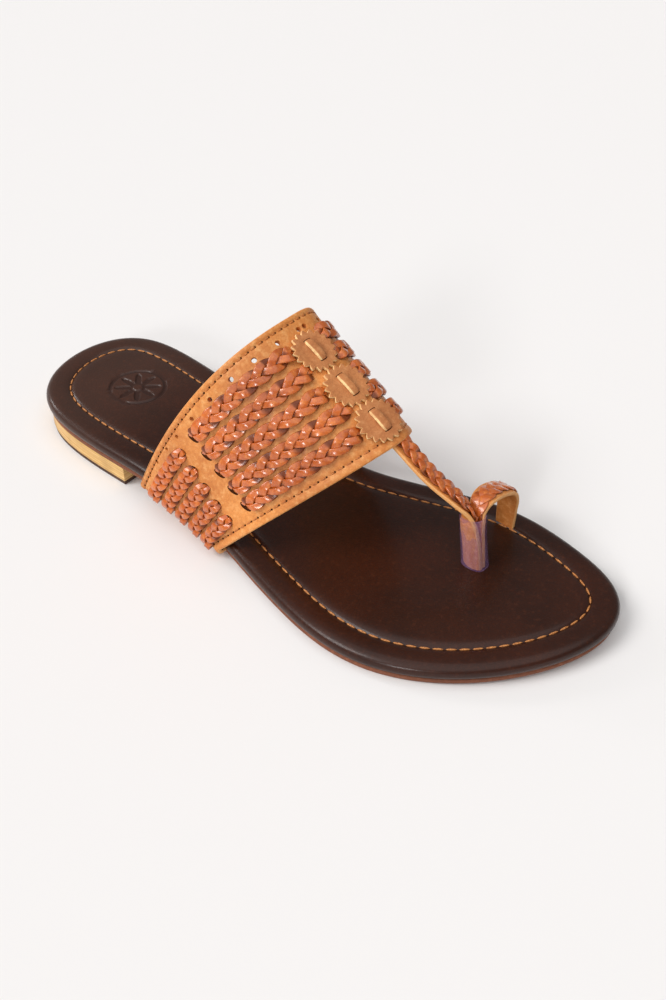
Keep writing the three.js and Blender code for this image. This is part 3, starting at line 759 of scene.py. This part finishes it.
def strip_points(loop, shares):
    """Inner points across a loop, row by row."""
    half = len(loop) // 2
    near, far = loop[1:half], loop[:half:-1]
    return (near[:, None] + (far - near)[:, None] * np.asarray(shares)[None, :, None]).reshape(-1, 2)


def symmetric_angles(half_turn):
    """Angles from the heel round the outer side and back, mirrored about the sole's length."""
    return np.concatenate([[0.0], half_turn, [math.pi], 2 * math.pi - half_turn[::-1]])


def angle_at(x):
    return math.acos(1 - 2 * x / LENGTH)


FOOTBED_PROFILE = (
    (6.0, 0.0), (1.6, 0.05), (0.6, 0.45), (0.12, 1.2), (0.0, 2.1), (0.12, 3.0), (0.5, 3.8),
    (1.2, 4.45), (2.2, 4.85), (3.4, 5.07), (4.8, 5.13), (6.4, 5.08), (7.8, 4.93), (8.8, 4.68),
    (9.4, 4.38), (9.75, 4.06), (10.0, 3.92), (10.25, 4.06), (10.6, 4.38), (11.2, 4.7),
    (12.2, 4.95), (13.6, 5.08), (15.0, 5.12),
)
ROSETTE_PLACE = (39.5, -1.0)
ROSETTE_RADIUS = 12.0
ROSETTE_DEPTH = 0.55
PETALS = 8
PETAL_START, PETAL_TIPS, PETAL_SWING = 0.17, 0.52, 0.26
ROSETTE_RING, RING_HALF_WIDTH = 0.92, 0.055
STAMP_SLOPE = 0.03
SEAT_REACH = 14.0
STITCH_LEVEL = 4.22
BED_STITCH = dict(pitch=4.3, length=3.75, thickness=0.74)


def rosette(x, y):
    """1 inside the stamped ring and petals, 0 outside."""
    x, y = x - ROSETTE_PLACE[0], y - ROSETTE_PLACE[1]
    radius = np.hypot(x, y) / ROSETTE_RADIUS
    tip = PETAL_TIPS + PETAL_SWING * np.cos(np.arctan2(y, x) * PETALS)

    def pressed(depth):
        return smooth(-STAMP_SLOPE, STAMP_SLOPE, depth)

    petals = pressed(tip - radius) * pressed(radius - PETAL_START)
    return np.maximum(petals, pressed(RING_HALF_WIDTH - np.abs(radius - ROSETTE_RING)))


def make_footbed():
    """The padded bed, with a dense patch of points where the rosette is stamped, and its stitching."""
    seat = np.linspace(*(angle_at(ROSETTE_PLACE[0] + reach) for reach in (-SEAT_REACH, SEAT_REACH)), 76)
    heel = np.linspace(0, seat[0], 26)[1:-1]
    rest = np.linspace(seat[-1], math.pi, 200)[1:-1]
    angles = symmetric_angles(np.concatenate([heel, seat, rest]))
    base = OUTSOLE_THICK + GAP
    rings, count = [], len(angles)
    for inset, rise in FOOTBED_PROFILE:
        ring = inset_point(angles, inset)
        rings.append(np.column_stack([ring, sole_bottom(ring[:, 0]) + base + rise]))
    faces = loop_faces(len(rings), count)
    last = (len(rings) - 1) * count
    shares = np.concatenate([np.linspace(0, 0.28, 9)[1:], np.linspace(0.28, 0.86, 80)[1:], [0.93]])
    inner = strip_points(rings[-1][:, :2], shares)
    stamp = rosette(inner[:, 0], inner[:, 1])
    top = sole_bottom(inner[:, 0]) + base + FOOTBED_PROFILE[-1][1] - ROSETTE_DEPTH * stamp
    faces += strip_faces(list(range(last, last + count)), len(shares), last + count, True)
    faces += strip_faces(list(range(count)), 0, 0, False)
    points = np.concatenate([*rings, np.column_stack([inner, top])])
    piece = add_mesh("footbed_padded", points, faces, MATERIALS["footbed"])
    mark(piece.data, "stamp", np.concatenate([np.zeros(len(rings) * count), stamp]))
    finish_piece(piece, "footbed", "footbed")
    path = inset_point(np.linspace(0, 2 * math.pi, 900, endpoint=False), STITCH_INSET)
    path = np.column_stack([path, sole_bottom(path[:, 0]) + base + STITCH_LEVEL])
    stitch_row("footbed_stitching", "footbed", "footbed thread", path, closed=True, **BED_STITCH)


NOTCH_DEPTH, NOTCH_ROOM = 5.6, 0.35
OUTSOLE_PROFILE = ((1.6, 0.0), (1.15, 0.12), (0.92, 0.45), (0.85, 1.0), (0.95, 1.6), (1.3, 2.0))
OUTSOLE_INSET = min(inset for inset, _ in OUTSOLE_PROFILE)


def make_outsole():
    """The board, notched on both sides for the vamp's feet."""
    notches = {side: (REAR_EDGE["foot"][side] - NOTCH_ROOM, FRONT_EDGE["foot"][side] + NOTCH_ROOM)
               for side in (-1, 1)}
    edges = [angle_at(x) + turn for ends in notches.values() for x in ends for turn in (-0.0004, 0.0004)]
    angles = symmetric_angles(np.sort(np.concatenate([np.linspace(0, math.pi, 241)[1:-1], edges])))
    sides = np.where(angles < math.pi, -1, 1)
    along = LENGTH * (1 - np.cos(angles)) / 2
    rings, count = [], len(angles)
    for inset, rise in OUTSOLE_PROFILE:
        ring = inset_point(angles, inset)
        for side, (start, end) in notches.items():
            inside = (sides == side) & (along > start) & (along < end)
            ring[inside, 1] -= side * (NOTCH_DEPTH - OUTSOLE_INSET)
        rings.append(np.column_stack([ring, sole_bottom(ring[:, 0]) + rise]))
    last = (len(rings) - 1) * count
    faces = loop_faces(len(rings), count)
    faces += strip_faces(list(range(last, last + count)), 0, 0, True)
    faces += strip_faces(list(range(count)), 0, 0, False)
    cut = np.full(len(rings) * count, 0.45)
    piece = add_mesh("outsole_board", np.concatenate(rings), faces, MATERIALS["outsole"], cut, sharp=50)
    finish_piece(piece, "outsole", "outsole")


def heel_slab(name, slot, node, inset, front, bottom, thick, round_edge, waist):
    """A slab of the heel's outline with a flat front, softened edges and a slight waist."""
    rings = []
    profile = [(round_edge, 0.0), (round_edge * 0.3, round_edge * 0.3), (0.0, round_edge)]
    for share in (0.25, 0.5, 0.75):
        profile.append((waist * math.sin(math.pi * share), mix(round_edge, thick - round_edge, share)))
    profile += [(0.0, thick - round_edge), (round_edge * 0.3, thick - round_edge * 0.3), (round_edge, thick)]
    for extra, rise in profile:
        end = angle_at(front - extra)
        arc = inset_point(np.linspace(end, -end, 121), inset + extra)
        arc[[0, -1], 0] = front - extra
        ring = np.concatenate([arc, np.linspace(arc[-1], arc[0], 24)[1:-1]])
        rings.append(np.column_stack([ring, np.full(len(ring), bottom + rise)]))
    finish_piece(add_rings(name, rings, MATERIALS[slot], sharp=40), slot, node)


# ---------------------------------------------------------------- vamp
REAR_STITCH, FRONT_STITCH = 2.3, 3.3
REAR_BEAD, FRONT_BEAD = 1.1, 1.5
NEAR_REAR, NEAR_FRONT = 0.03, 0.97
FACE_COLUMNS = 74
TUCK_END = 0.0971
PUNCH_RADIUS = 0.95
EDGE_ROUND = ((0.55, 0.0), (0.16, 0.14), (0.0, 0.55), (0.0, 1.45), (0.16, 1.86), (0.55, 2.0))
HOLE_SIZES = (
    (0.100, 0.985, 1.0), (0.100, 0.886, 1.0), (0.100, 0.786, 1.0), (0.100, 0.687, 1.0),
    (0.100, 0.583, 0.95), (0.097, 0.473, 0.9), (0.090, 0.363, 0.8), (0.078, 0.277, 0.7),
    (0.068, 0.180, 0.65), (0.062, 0.082, 0.6),
)


def ridge(distance, width, height):
    return np.exp(-(distance / width) ** 2) * height


def vamp_relief(from_rear, from_front):
    """How far the hide's face stands in or out near its turned edges, by distance in mm."""
    beads = ridge(from_rear - REAR_BEAD, 0.7, 0.16) + ridge(from_front - FRONT_BEAD, 0.9, 0.14)
    return beads - ridge(from_rear - REAR_STITCH, 0.55, 0.28) - ridge(from_front - FRONT_STITCH, 0.6, 0.24)


def make_vamp():
    """The hide in rings over the foot, each ring round the sheet: its face, front, back and rear."""
    ups = np.linspace(-TUCK_END, 2 + TUCK_END, 321)
    inner_shares = np.concatenate([
        np.linspace(0, 0.09, 16)[1:], np.linspace(0.09, 0.9, 44)[1:-1], np.linspace(0.9, 1, 16)[:-1],
    ])
    rounding = EDGE_ROUND[0][0]
    face_cut, edge_cut = np.zeros(FACE_COLUMNS), [0.5, 1.0, 1.0, 0.5]
    rings = []
    for up in ups:
        level = np.clip(up, 0, 2)
        per_rear, per_front = (VAMP.reach(across, level)[0] for across in (NEAR_REAR, NEAR_FRONT))
        shares = [rounding / per_rear, *inner_shares, 1 - rounding / per_front]
        shares = [share for share in shares if 0.5 / per_rear <= share <= 1 - 0.5 / per_front]
        columns = np.linspace(0, 1, FACE_COLUMNS), np.linspace(0, 1, len(shares))
        shares = np.interp(*columns, shares)
        relief = vamp_relief(shares * per_rear, (1 - shares) * per_front)
        rings.append(np.concatenate([
            VAMP.at(shares, up, relief),
            [VAMP.at(1 - inset / per_front, up, -depth) for inset, depth in EDGE_ROUND[1:-1]],
            VAMP.at(shares[::-1], up, -VAMP_WALL),
            [VAMP.at(inset / per_rear, up, -depth) for inset, depth in EDGE_ROUND[-2:0:-1]],
        ]))
    cut = np.tile(np.concatenate([face_cut, edge_cut, face_cut, edge_cut]), len(rings))
    punched(add_rings("vamp_hide", rings, MATERIALS["vamp"], cut))


def punched(piece):
    """The vamp with its row of round holes cut through."""
    rows = [*HOLE_SIZES, *((across, 2 - up, size) for across, up, size in HOLE_SIZES)]
    across, up, size = (np.array(column) for column in zip(*rows))
    at, out = VAMP.at(across, up), VAMP.at(across, up, 1.0)
    places = bpy.data.meshes.new("hole places")
    places.from_pydata([tuple(point) for point in place(at)], [], [])
    mark(places, "facing", out - at, "FLOAT_VECTOR", "vector")
    mark(places, "size", size)
    marks = shown("hole places", places)
    source = piece.data
    bpy.data.objects.remove(piece)
    values = {"Places": marks, "Radius": PUNCH_RADIUS * MM, "Material": MATERIALS["vamp"]}
    piece = grown("vamp_hide", source, PUNCH_TREE, **values)
    bpy.data.objects.remove(marks)
    finish_piece(piece, "vamp", "upper")


def vamp_stitching():
    """Threads in the groove along each edge, and a bead of painted shade in each needle hole between them.
    """
    ups = np.linspace(-0.005, 2.005, 900)
    for edge, across, inset, pitch, length in (
        ("rear", NEAR_REAR, REAR_STITCH, 2.95, 2.1),
        ("front", NEAR_FRONT, FRONT_STITCH, 3.3, 2.4),
    ):
        per = VAMP.reach(across, np.clip(ups, 0, 2))[0]
        line = inset / per if edge == "rear" else 1 - inset / per
        for part, material, depth, size in (
            ("stitching", "vamp thread", 0.16, dict(length=length, thickness=0.62)),
            ("needle_holes", "needle hole", 0.24, dict(length=0.85, thickness=0.72, start=pitch / 2)),
        ):
            path = VAMP.at(line, ups, -depth)
            stitch_row(f"vamp_{edge}_{part}", "vamp", material, path, closed=False, pitch=pitch, **size)


# ---------------------------------------------------------------- plaits
# width, pitch, lace width, lace thickness, rise and fall
LONG_PLAIT = (7.0, 18.4, 2.75, 0.85, 0.7)
SHORT_PLAIT = (6.2, 14.6, 2.5, 0.85, 0.72)
STRAP_PLAIT = (5.9, 12.8, 2.7, 0.95, 0.62)
LOOP_PLAIT = (6.8, 13.4, 3.1, 0.7, 0.24)
PLAIT_TAPER = 2.6
TAPER_NARROWING, TAPER_DIP = 0.4, 1.5
PLAIT_SINK = 0.1


def laid_plait(name, size, length, where, node, tapers=(PLAIT_TAPER, PLAIT_TAPER)):
    """A plait bent onto its route; where(x, y, z) gives pattern points for arrays in mm. Both
    ends narrow and dip over the lengths in tapers, as they go into their slits."""
    width, pitch, lace, thick, lift = size
    values = {"Length": length, "Pitch": pitch, "Swing": (width - lace) / 2, "Lift": lift,
              "Lace_Width": lace, "Lace_Thickness": thick, "Material": MATERIALS["plait"]}
    piece = grown(name, bpy.data.meshes.new("plait start"), PLAIT_TREE, **values)
    points = np.empty(len(piece.data.vertices) * 3)
    piece.data.vertices.foreach_get("co", points)
    x, y, z = points.reshape(-1, 3).T
    whole = np.ones(len(x))
    for taper, distance in zip(tapers, (x, length - x)):
        whole = whole * (smooth(0, taper, distance) if taper else 1.0)
    aside = y * (1 - TAPER_NARROWING + TAPER_NARROWING * whole)
    rise = z + lift + thick / 2 - (1 - whole) * TAPER_DIP - PLAIT_SINK
    moved = place(where(np.clip(x, 0, length), aside, rise))
    piece.data.vertices.foreach_set("co", moved.astype("f").ravel())
    # painted shade for the plait's material: darker low between the strands, and on each lace's underside
    # where another lace crosses over it
    strand = np.arange(len(x)) * STRANDS // len(x)
    lace_middle = lift * np.sin(2 * (2 * math.pi * x / pitch + 2 * math.pi * strand / STRANDS))
    deep = 1 - smooth(0.2, 0.55, z / (lift + thick / 2) * 0.5 + 0.5)
    under = 1 - smooth(-0.6, 0.7, (z - lace_middle) / (thick / 2))
    mark(piece.data, "recess", np.maximum(deep, under))
    piece.data.update()
    finish_piece(recalculated(piece), "plait", node)


def vamp_route(start, end):
    """Length of the way over the vamp between two places, and a function that lays points on it."""
    shares = np.linspace(0, 1, 200)
    across, up = (mix(a, b, shares) for a, b in zip(start, end))
    line = VAMP.at(across, up)
    run = run_along(line)

    def where(x, y, z):
        share = np.interp(x, run, shares)
        middle, level = mix(start[0], end[0], share), mix(start[1], end[1], share)
        per = VAMP.reach(middle, np.clip(level, 0, 2))[0]
        return VAMP.at(middle + y / per, level, z)

    return run[-1], where


# how far a plait runs on under a patch, into a slit and below the foot, as shares of up
PATCH_OVERLAP, SLIT_DIP, FOOT_DIP = 0.012, 0.004, 0.03


def patch_edge(across):
    """How far up the vamp a line across it meets the patch that covers it."""
    middle = min(PATCHES_ACROSS, key=lambda patch: abs(patch - across))
    per_across, per_up = VAMP.reach(middle, PATCH_HEIGHT)
    aside = (across - middle) * float(per_across)
    return PATCH_HEIGHT - math.sqrt(PATCH_RADIUS**2 - aside**2) / float(per_up)


def vamp_plaits():
    """A long and a short plait in each row, and the same on the inner side, where up runs on to 2."""
    for row, (across, long_slit, short_slit, foot) in enumerate(PLAIT_ROWS, 1):
        long_top = patch_edge(across) + PATCH_OVERLAP
        long_ends, short_ends = (long_slit - SLIT_DIP, long_top), (-FOOT_DIP, short_slit + SLIT_DIP)
        for name, size, start, (near, far), far_inside in (
            ("long_plait", LONG_PLAIT, across, long_ends, 2 * PATCH_HEIGHT - long_top),
            ("short_plait", SHORT_PLAIT, foot, short_ends, 2 - short_ends[1]),
        ):
            node = name.replace("long_", "")
            for face, low_end, high_end in (("outer", near, far), ("inner", 2 - near, far_inside)):
                length, where = vamp_route((start, low_end), (across, high_end))
                laid_plait(f"{name}_{face}_hide_{row}", size, length, where, f"{node}_{face}_{row}")


# ---------------------------------------------------------------- patches
PATCH_THICK = 1.15
PATCH_REST, PATCH_PROP, PROP_START = 0.25, 0.95, 4.0
PATCH_CROWN = 0.3
PATCH_RADII = (0.0001, 0.25, 0.5, 0.7, 0.82, 0.9, 0.96, 1.0)
TOOTH_DEPTH, TOOTH_POINTS, TOOTH_FADE = 1.55, 8, 0.72
EDGE_BEVEL, EDGE_LEVEL = 0.12, 0.84


def patch_place(across, forward, aside, rise):
    """A pattern point on the vamp, forward and aside in mm from a patch's middle."""
    per_across, per_up = VAMP.reach(across, PATCH_HEIGHT)
    return VAMP.at(across + forward / per_across, PATCH_HEIGHT + aside / per_up, rise)


def patch_lift(forward, aside):
    """How far a patch is held off the hide by the plait ends under its two sides."""
    radius = np.hypot(forward, aside)
    share = np.divide(np.abs(aside), radius, out=np.zeros_like(radius), where=radius > 0)
    return PATCH_REST + PATCH_PROP * share**2 * smooth(PROP_START, PATCH_RADIUS, radius)


def patch_top(forward, aside):
    share = np.hypot(forward, aside) / PATCH_RADIUS
    return patch_lift(forward, aside) + PATCH_THICK + PATCH_CROWN * np.clip(1 - share**2, 0, 1)


def make_patch(number, across):
    """A pinked disc: rings out along its back, over its edge and in along its face."""
    count = PATCH_TEETH * TOOTH_POINTS
    turn = np.arange(count)
    angle = 2 * math.pi * turn / count
    tooth = TOOTH_DEPTH * np.abs((turn / TOOTH_POINTS % 1) * 2 - 1) ** 1.2
    rings, cut = [], []

    def ring(share, offset, edge, under):
        radius = (PATCH_RADIUS - tooth * smooth(TOOTH_FADE, 1.0, share)) * share - offset
        forward, aside = radius * np.cos(angle), radius * np.sin(angle)
        rise = patch_lift(forward, aside) if under else patch_top(forward, aside) - offset * 0.8
        rings.append(patch_place(across, forward, aside, rise))
        cut.append(np.full(count, edge))

    for share in PATCH_RADII:
        ring(share, 0.0, 0.0, True)
    ring(1.0, 0.0, 1.0, True)
    ring(1.0, 0.0, 1.0, False)
    rings[-1] = mix(rings[-2], rings[-1], EDGE_LEVEL)
    ring(1.0, EDGE_BEVEL, 0.35, False)
    for share in PATCH_RADII[-2::-1]:
        ring(share, 0.0, 0.0, False)
    cut = np.concatenate(cut)
    piece = add_rings(f"pinked_patch_{number}", rings, MATERIALS["patch"], cut, sharp=55)
    finish_piece(piece, "patch", f"patch_{number}")


TAB_HALF, TAB_HALF_WIDTH = 4.3, 1.62
TAB_ARCH, TAB_SINK, TAB_THICK = 0.95, 0.25, 0.8
TAB_NARROW_START, TAB_NARROWING = 0.7, 0.3
# aside and rise of the tab's section, and how far its pale cut edge shows there: the cut edge is real, and
# painted highlight makes it stronger on the lower side and over its top corner
TAB_SECTION = (
    (-1, -0.5, 1), (-1, 0.15, 1), (-0.86, 0.5, 0.75), (-0.4, 0.62, 0),
    (0.4, 0.62, 0), (0.86, 0.5, 0), (1, 0.15, 0.2), (1, -0.5, 0.2),
)


def make_tab(number, across):
    """The lace end that comes up through one slit of a patch and down through another."""
    rings, shares = [], np.linspace(-1, 1, 25)
    for share in shares:
        forward = share * TAB_HALF
        arch = TAB_ARCH * (1 - abs(share) ** 4.5) - TAB_SINK
        past = max(0, abs(share) - TAB_NARROW_START) / (1 - TAB_NARROW_START)
        half = TAB_HALF_WIDTH * (1 - TAB_NARROWING * past)
        ring = []
        for aside, rise, _ in TAB_SECTION:
            top = float(patch_top(np.array(forward), np.array(aside * half)))
            ring.append(patch_place(across, forward, aside * half, top + arch + rise * TAB_THICK))
        rings.append(np.array(ring))
    # the lower side's stronger pale edge is partly painted highlight
    cut = np.tile([edge for _, _, edge in TAB_SECTION], len(shares))
    piece = add_rings(f"patch_lace_end_{number}", rings, MATERIALS["patch"], cut, sharp=70)
    finish_piece(piece, "patch", f"patch_tab_{number}")


SLIT_THICK, SLIT_SINK, SLIT_SHIFT = 0.36, 0.3, 0.55
LONG_SLIT, SHORT_SLIT, TAB_SLIT = (1.25, 2.6), (1.25, 1.9), (0.35, 1.7)


def add_slit(points, faces, where, half_long, half_wide):
    """Adds a thin dark oval of painted shade; where(x, y, z) lays its points, in mm from its middle."""
    count, start = 18, len(points)
    angle = 2 * math.pi * np.arange(count) / count
    for scale, rise in ((0.9, 0.0), (1.0, 0.5), (0.9, 1.0)):
        x, y = half_long * scale * np.cos(angle), half_wide * scale * np.sin(angle)
        points.extend(where(x, y, np.full(count, rise * SLIT_THICK - SLIT_SINK)))
    faces.extend(tuple(start + corner for corner in face) for face in closed_faces(3, count))


def make_slits():
    """Painted shade: dark ovals in the slits that the plaits and the lace ends pass through."""
    points, faces = [], []
    for across, long_slit, short_slit, _ in PLAIT_ROWS:
        shift = SLIT_SHIFT / float(VAMP.reach(across, long_slit)[1])
        for end, size in ((long_slit, LONG_SLIT), (short_slit, SHORT_SLIT)):
            for up in (end - shift, 2 - end + shift):
                per = VAMP.reach(across, up)

                def on_vamp(x, y, z, across=across, up=up, per=per):
                    return VAMP.at(across + y / per[0], up + x / per[1], z)

                add_slit(points, faces, on_vamp, *size)
    for across in PATCHES_ACROSS:
        for end in (-TAB_HALF, TAB_HALF):

            def on_patch(x, y, z, across=across, end=end):
                return patch_place(across, end + x, y, patch_top(end + x, y) + z)

            add_slit(points, faces, on_patch, *TAB_SLIT)
    finish_piece(add_mesh("dark_slits", np.array(points), faces, MATERIALS["needle hole"]), "vamp")


# ---------------------------------------------------------------- bands between the toes
def smooth_curve(points):
    """A smooth curve through points, as a function of the share from the first to the last."""
    points = np.array(points, float)
    padded = np.vstack([2 * points[0] - points[1], points, 2 * points[-1] - points[-2]])
    last = len(points) - 1

    def value(share):
        place_on = np.clip(np.asarray(share, float) * last, 0, last - 1e-9)
        i = place_on.astype(int)
        t = (place_on - i)[..., None]
        a, b, c, d = (padded[i + k] for k in range(4))
        bend, twist = 2 * a - 5 * b + 4 * c - d, 3 * b - a - 3 * c + d
        return 0.5 * (2 * b + (c - a) * t + bend * t**2 + twist * t**3)

    return value


# how far a band spreads to each side and to its back where it fills the sleeve
SLEEVE_SPREAD, SLEEVE_BACKING = 0.85, 1.35
SLEEVE_MIDDLE, SLEEVE_REACH = (196.5, 10.5), 6.5
SLEEVE_FULL, SLEEVE_FREE = 25.5, 29.0
# aside and rise of the back of a band's section, and how far its cut edge shows at each rise
BAND_BACK = ((-1, -0.55), (-0.95, -0.9), (-0.8, -1), (-0.4, -1), (0, -1), (0.4, -1), (0.8, -1),
             (0.95, -0.9), (1, -0.55))
BAND_CUT = {0.55: 1.0, 0.9: 0.6, 1: 0.0}
BAND_SECTION = (*BAND_BACK, *((aside, -rise) for aside, rise in reversed(BAND_BACK)))
BAND_SINK = 0.1


class Band:
    """A flat band's middle line with its width and facing."""

    def __init__(self, route):
        self.curve = smooth_curve([row[:3] for row in route])
        marks = np.arange(len(route)) / (len(route) - 1)
        self.width = spline(marks, [row[3] for row in route])
        self.turn = spline(marks, [row[4] for row in route])

    def at(self, share, aside, rise):
        """Points aside of and above the middle line, in mm."""
        share = np.asarray(share, float)
        step = 0.0015
        low, high = np.clip(share - step, 0, 1), np.clip(share + step, 0, 1)
        along = unit(self.curve(high) - self.curve(low))
        angle = np.radians(self.turn(share))
        wide = np.stack([np.sin(angle), np.cos(angle), np.zeros_like(angle)], -1)
        wide = unit(wide - along * np.sum(wide * along, -1, keepdims=True))
        up = np.cross(along, wide)
        aside, rise = np.asarray(aside, float)[..., None], np.asarray(rise, float)[..., None]
        return self.curve(share) + wide * aside + up * rise

    def inside_sleeve(self, shares):
        """1 where the band is bunched up in the sleeve, beside the other band."""
        line = self.curve(shares)
        near = np.hypot(*(line[:, :2] - SLEEVE_MIDDLE).T) < SLEEVE_REACH
        return (1 - smooth(SLEEVE_FULL, SLEEVE_FREE, line[:, 2])) * near

    def mesh(self, name, steps):
        shares = np.linspace(0, 1, steps)
        inside = self.inside_sleeve(shares)
        half = self.width(shares) / 2 + SLEEVE_SPREAD * inside
        columns = []
        for aside, rise in BAND_SECTION:
            backing = SLEEVE_BACKING * (1 - aside * aside) if rise < 0 else 0.0
            columns.append(self.at(shares, half * aside, rise * STRAP_THICK / 2 - backing * inside))
        cut = np.tile([BAND_CUT[abs(rise)] for _, rise in BAND_SECTION], steps)
        finish_piece(add_rings(name, np.stack(columns, axis=1), MATERIALS["vamp"], cut), "vamp", "upper")

    def plait(self, name, size, ends, node, tapers):
        shares = np.linspace(*ends, 200)
        run = run_along(self.curve(shares))

        def where(x, y, z):
            return self.at(np.interp(x, run, shares), y, z + STRAP_THICK / 2 - BAND_SINK)

        laid_plait(name, size, run[-1], where, node, tapers)


SLEEVE_SQUARENESS, SLEEVE_WALL = 2.8, 0.5
LIP_FORWARD, LIP_ASIDE = 0.5, -0.35


def squared(share):
    return np.sign(share) * np.abs(share) ** (2 / SLEEVE_SQUARENESS)


def make_sleeve():
    """A squarish tube with a thin wall, its top edge a little slanted."""
    sides = 72
    heights = np.linspace(0, 1, 25)
    marks = np.linspace(0, 1, len(SLEEVE_STATIONS))
    stations = np.column_stack([spline(marks, column)(heights) for column in zip(*SLEEVE_STATIONS)])
    angle = 2 * math.pi * np.arange(sides) / sides
    forward, aside = squared(np.cos(angle)), squared(np.sin(angle))

    def ring(k, inset):
        x, y, z, long, wide = stations[k]
        level = z + (LIP_FORWARD * forward + LIP_ASIDE * aside) * heights[k] ** 3
        return np.column_stack([x + (long / 2 - inset) * forward, y + (wide / 2 - inset) * aside, level])

    order = range(len(heights))
    shell = [ring(k, 0.0) for k in order] + [ring(k, SLEEVE_WALL) for k in reversed(order)]
    faces = loop_faces(len(shell), sides)
    last = (len(shell) - 1) * sides
    faces += [(last + i, last + (i + 1) % sides, (i + 1) % sides, i) for i in range(sides)]
    piece = add_mesh("toe_sleeve_tube", np.concatenate(shell), faces, MATERIALS["sleeve"], sharp=60)
    finish_piece(piece, "sleeve", "toe_sleeve")


make_footbed()
make_outsole()
heel_slab("heel_block_coated", "heel", "heel_block", HEEL_INSET, HEEL_FRONT, LIFT_THICK + GAP,
          BLOCK_THICK, round_edge=0.45, waist=0.25)
heel_slab("heel_lift_sole", "lift", "heel_lift", HEEL_INSET + LIFT_STEP, HEEL_FRONT - LIFT_STEP, 0.0,
          LIFT_THICK, round_edge=0.3, waist=0.0)
make_vamp()
vamp_stitching()
vamp_plaits()
for number, across in enumerate(PATCHES_ACROSS, 1):
    make_patch(number, across)
    make_tab(number, across)
make_slits()
STRAP, LOOP = Band(STRAP_ROUTE), Band(LOOP_ROUTE)
STRAP.mesh("strap_band", 90)
LOOP.mesh("toe_loop_band", 140)
STRAP.plait("strap_band_plait", STRAP_PLAIT, (0.12, 0.66), "strap_plait", (0, 2.0))
LOOP.plait("toe_loop_plait", LOOP_PLAIT, (0.235, 0.95), "loop_plait", (2.0, 2.0))
make_sleeve()


# ---------------------------------------------------------------- floor, light and camera
FLOOR_REACH = 60.0
FLOOR_COLOR, BACKDROP_COLOR = (0.85, 0.835, 0.832), (0.93, 0.915, 0.905)
ROOM_COLOR, ROOM_STRENGTH = (1.0, 0.985, 0.975), 0.24
KEY_COLOR, PLAIN_WHITE = (1.0, 0.985, 0.965), (1.0, 1.0, 1.0)
AZIMUTH, ELEVATION, DISTANCE = math.radians(40.284), math.radians(40.962), 0.421676
LENS, SENSOR, CLIP_START = 41.4, 36.0, 0.01
AIM = (140.498, 1.955, 10.0)

# name, direction it comes from, strength, width in degrees and colour
LAMPS = (
    ("key", (-0.42, -0.72, 0.82), 1.68, 30, KEY_COLOR),
    ("overhead", (0.1, -0.15, 1.0), 1.15, 75, PLAIN_WHITE),
    ("side glint", (-0.94, -0.12, 0.46), 0.35, 11, PLAIN_WHITE),
    ("front glint", (0.28, -0.92, 0.4), 0.7, 11, PLAIN_WHITE),
)


def make_floor():
    corners = [(x * FLOOR_REACH, y * FLOOR_REACH, 0) for x, y in ((-1, -1), (1, -1), (1, 1), (-1, 1))]
    mesh = bpy.data.meshes.new("floor")
    mesh.from_pydata(corners, [], [(0, 1, 2, 3)])
    paint = Paint("pale floor")
    paint.set(Base_Color=FLOOR_COLOR, Roughness=0.75, Specular_IOR_Level=0.2)
    mesh.materials.append(paint.material)
    shown("floor", mesh)


def make_lamp(name, toward, strength, width, color):
    light = bpy.data.lights.new(name, "SUN")
    light.energy, light.color, light.angle = strength, color, math.radians(width)
    shown(name, light).rotation_euler = Vector(toward).to_track_quat("Z", "Y").to_euler()


def make_room():
    """Dim even light all round, and a paler backdrop where only the camera looks."""
    world = bpy.data.worlds.new("studio")
    world.use_nodes = True
    nodes, links = world.node_tree.nodes, world.node_tree.links
    room, backdrop = nodes["Background"], nodes.new("ShaderNodeBackground")
    room.inputs["Color"].default_value = (*ROOM_COLOR, 1)
    room.inputs["Strength"].default_value = ROOM_STRENGTH
    backdrop.inputs["Color"].default_value = (*BACKDROP_COLOR, 1)
    choice, ray = nodes.new("ShaderNodeMixShader"), nodes.new("ShaderNodeLightPath")
    links.new(ray.outputs["Is Camera Ray"], choice.inputs[0])
    links.new(room.outputs[0], choice.inputs[1])
    links.new(backdrop.outputs[0], choice.inputs[2])
    links.new(choice.outputs[0], nodes["World Output"].inputs["Surface"])
    bpy.context.scene.world = world
    bpy.context.scene.view_settings.view_transform = "Standard"


def make_camera():
    level = math.cos(ELEVATION)
    back = Vector((math.sin(AZIMUTH) * level, -math.cos(AZIMUTH) * level, math.sin(ELEVATION)))
    lens = bpy.data.cameras.new("camera")
    lens.lens, lens.sensor_width, lens.clip_start = LENS, SENSOR, CLIP_START
    camera = shown("camera", lens)
    camera.location = Vector(place(AIM)) + back * DISTANCE
    camera.rotation_euler = back.to_track_quat("Z", "Y").to_euler()
    bpy.context.scene.camera = camera


make_floor()
for lamp in LAMPS:
    make_lamp(*lamp)
make_room()
make_camera()
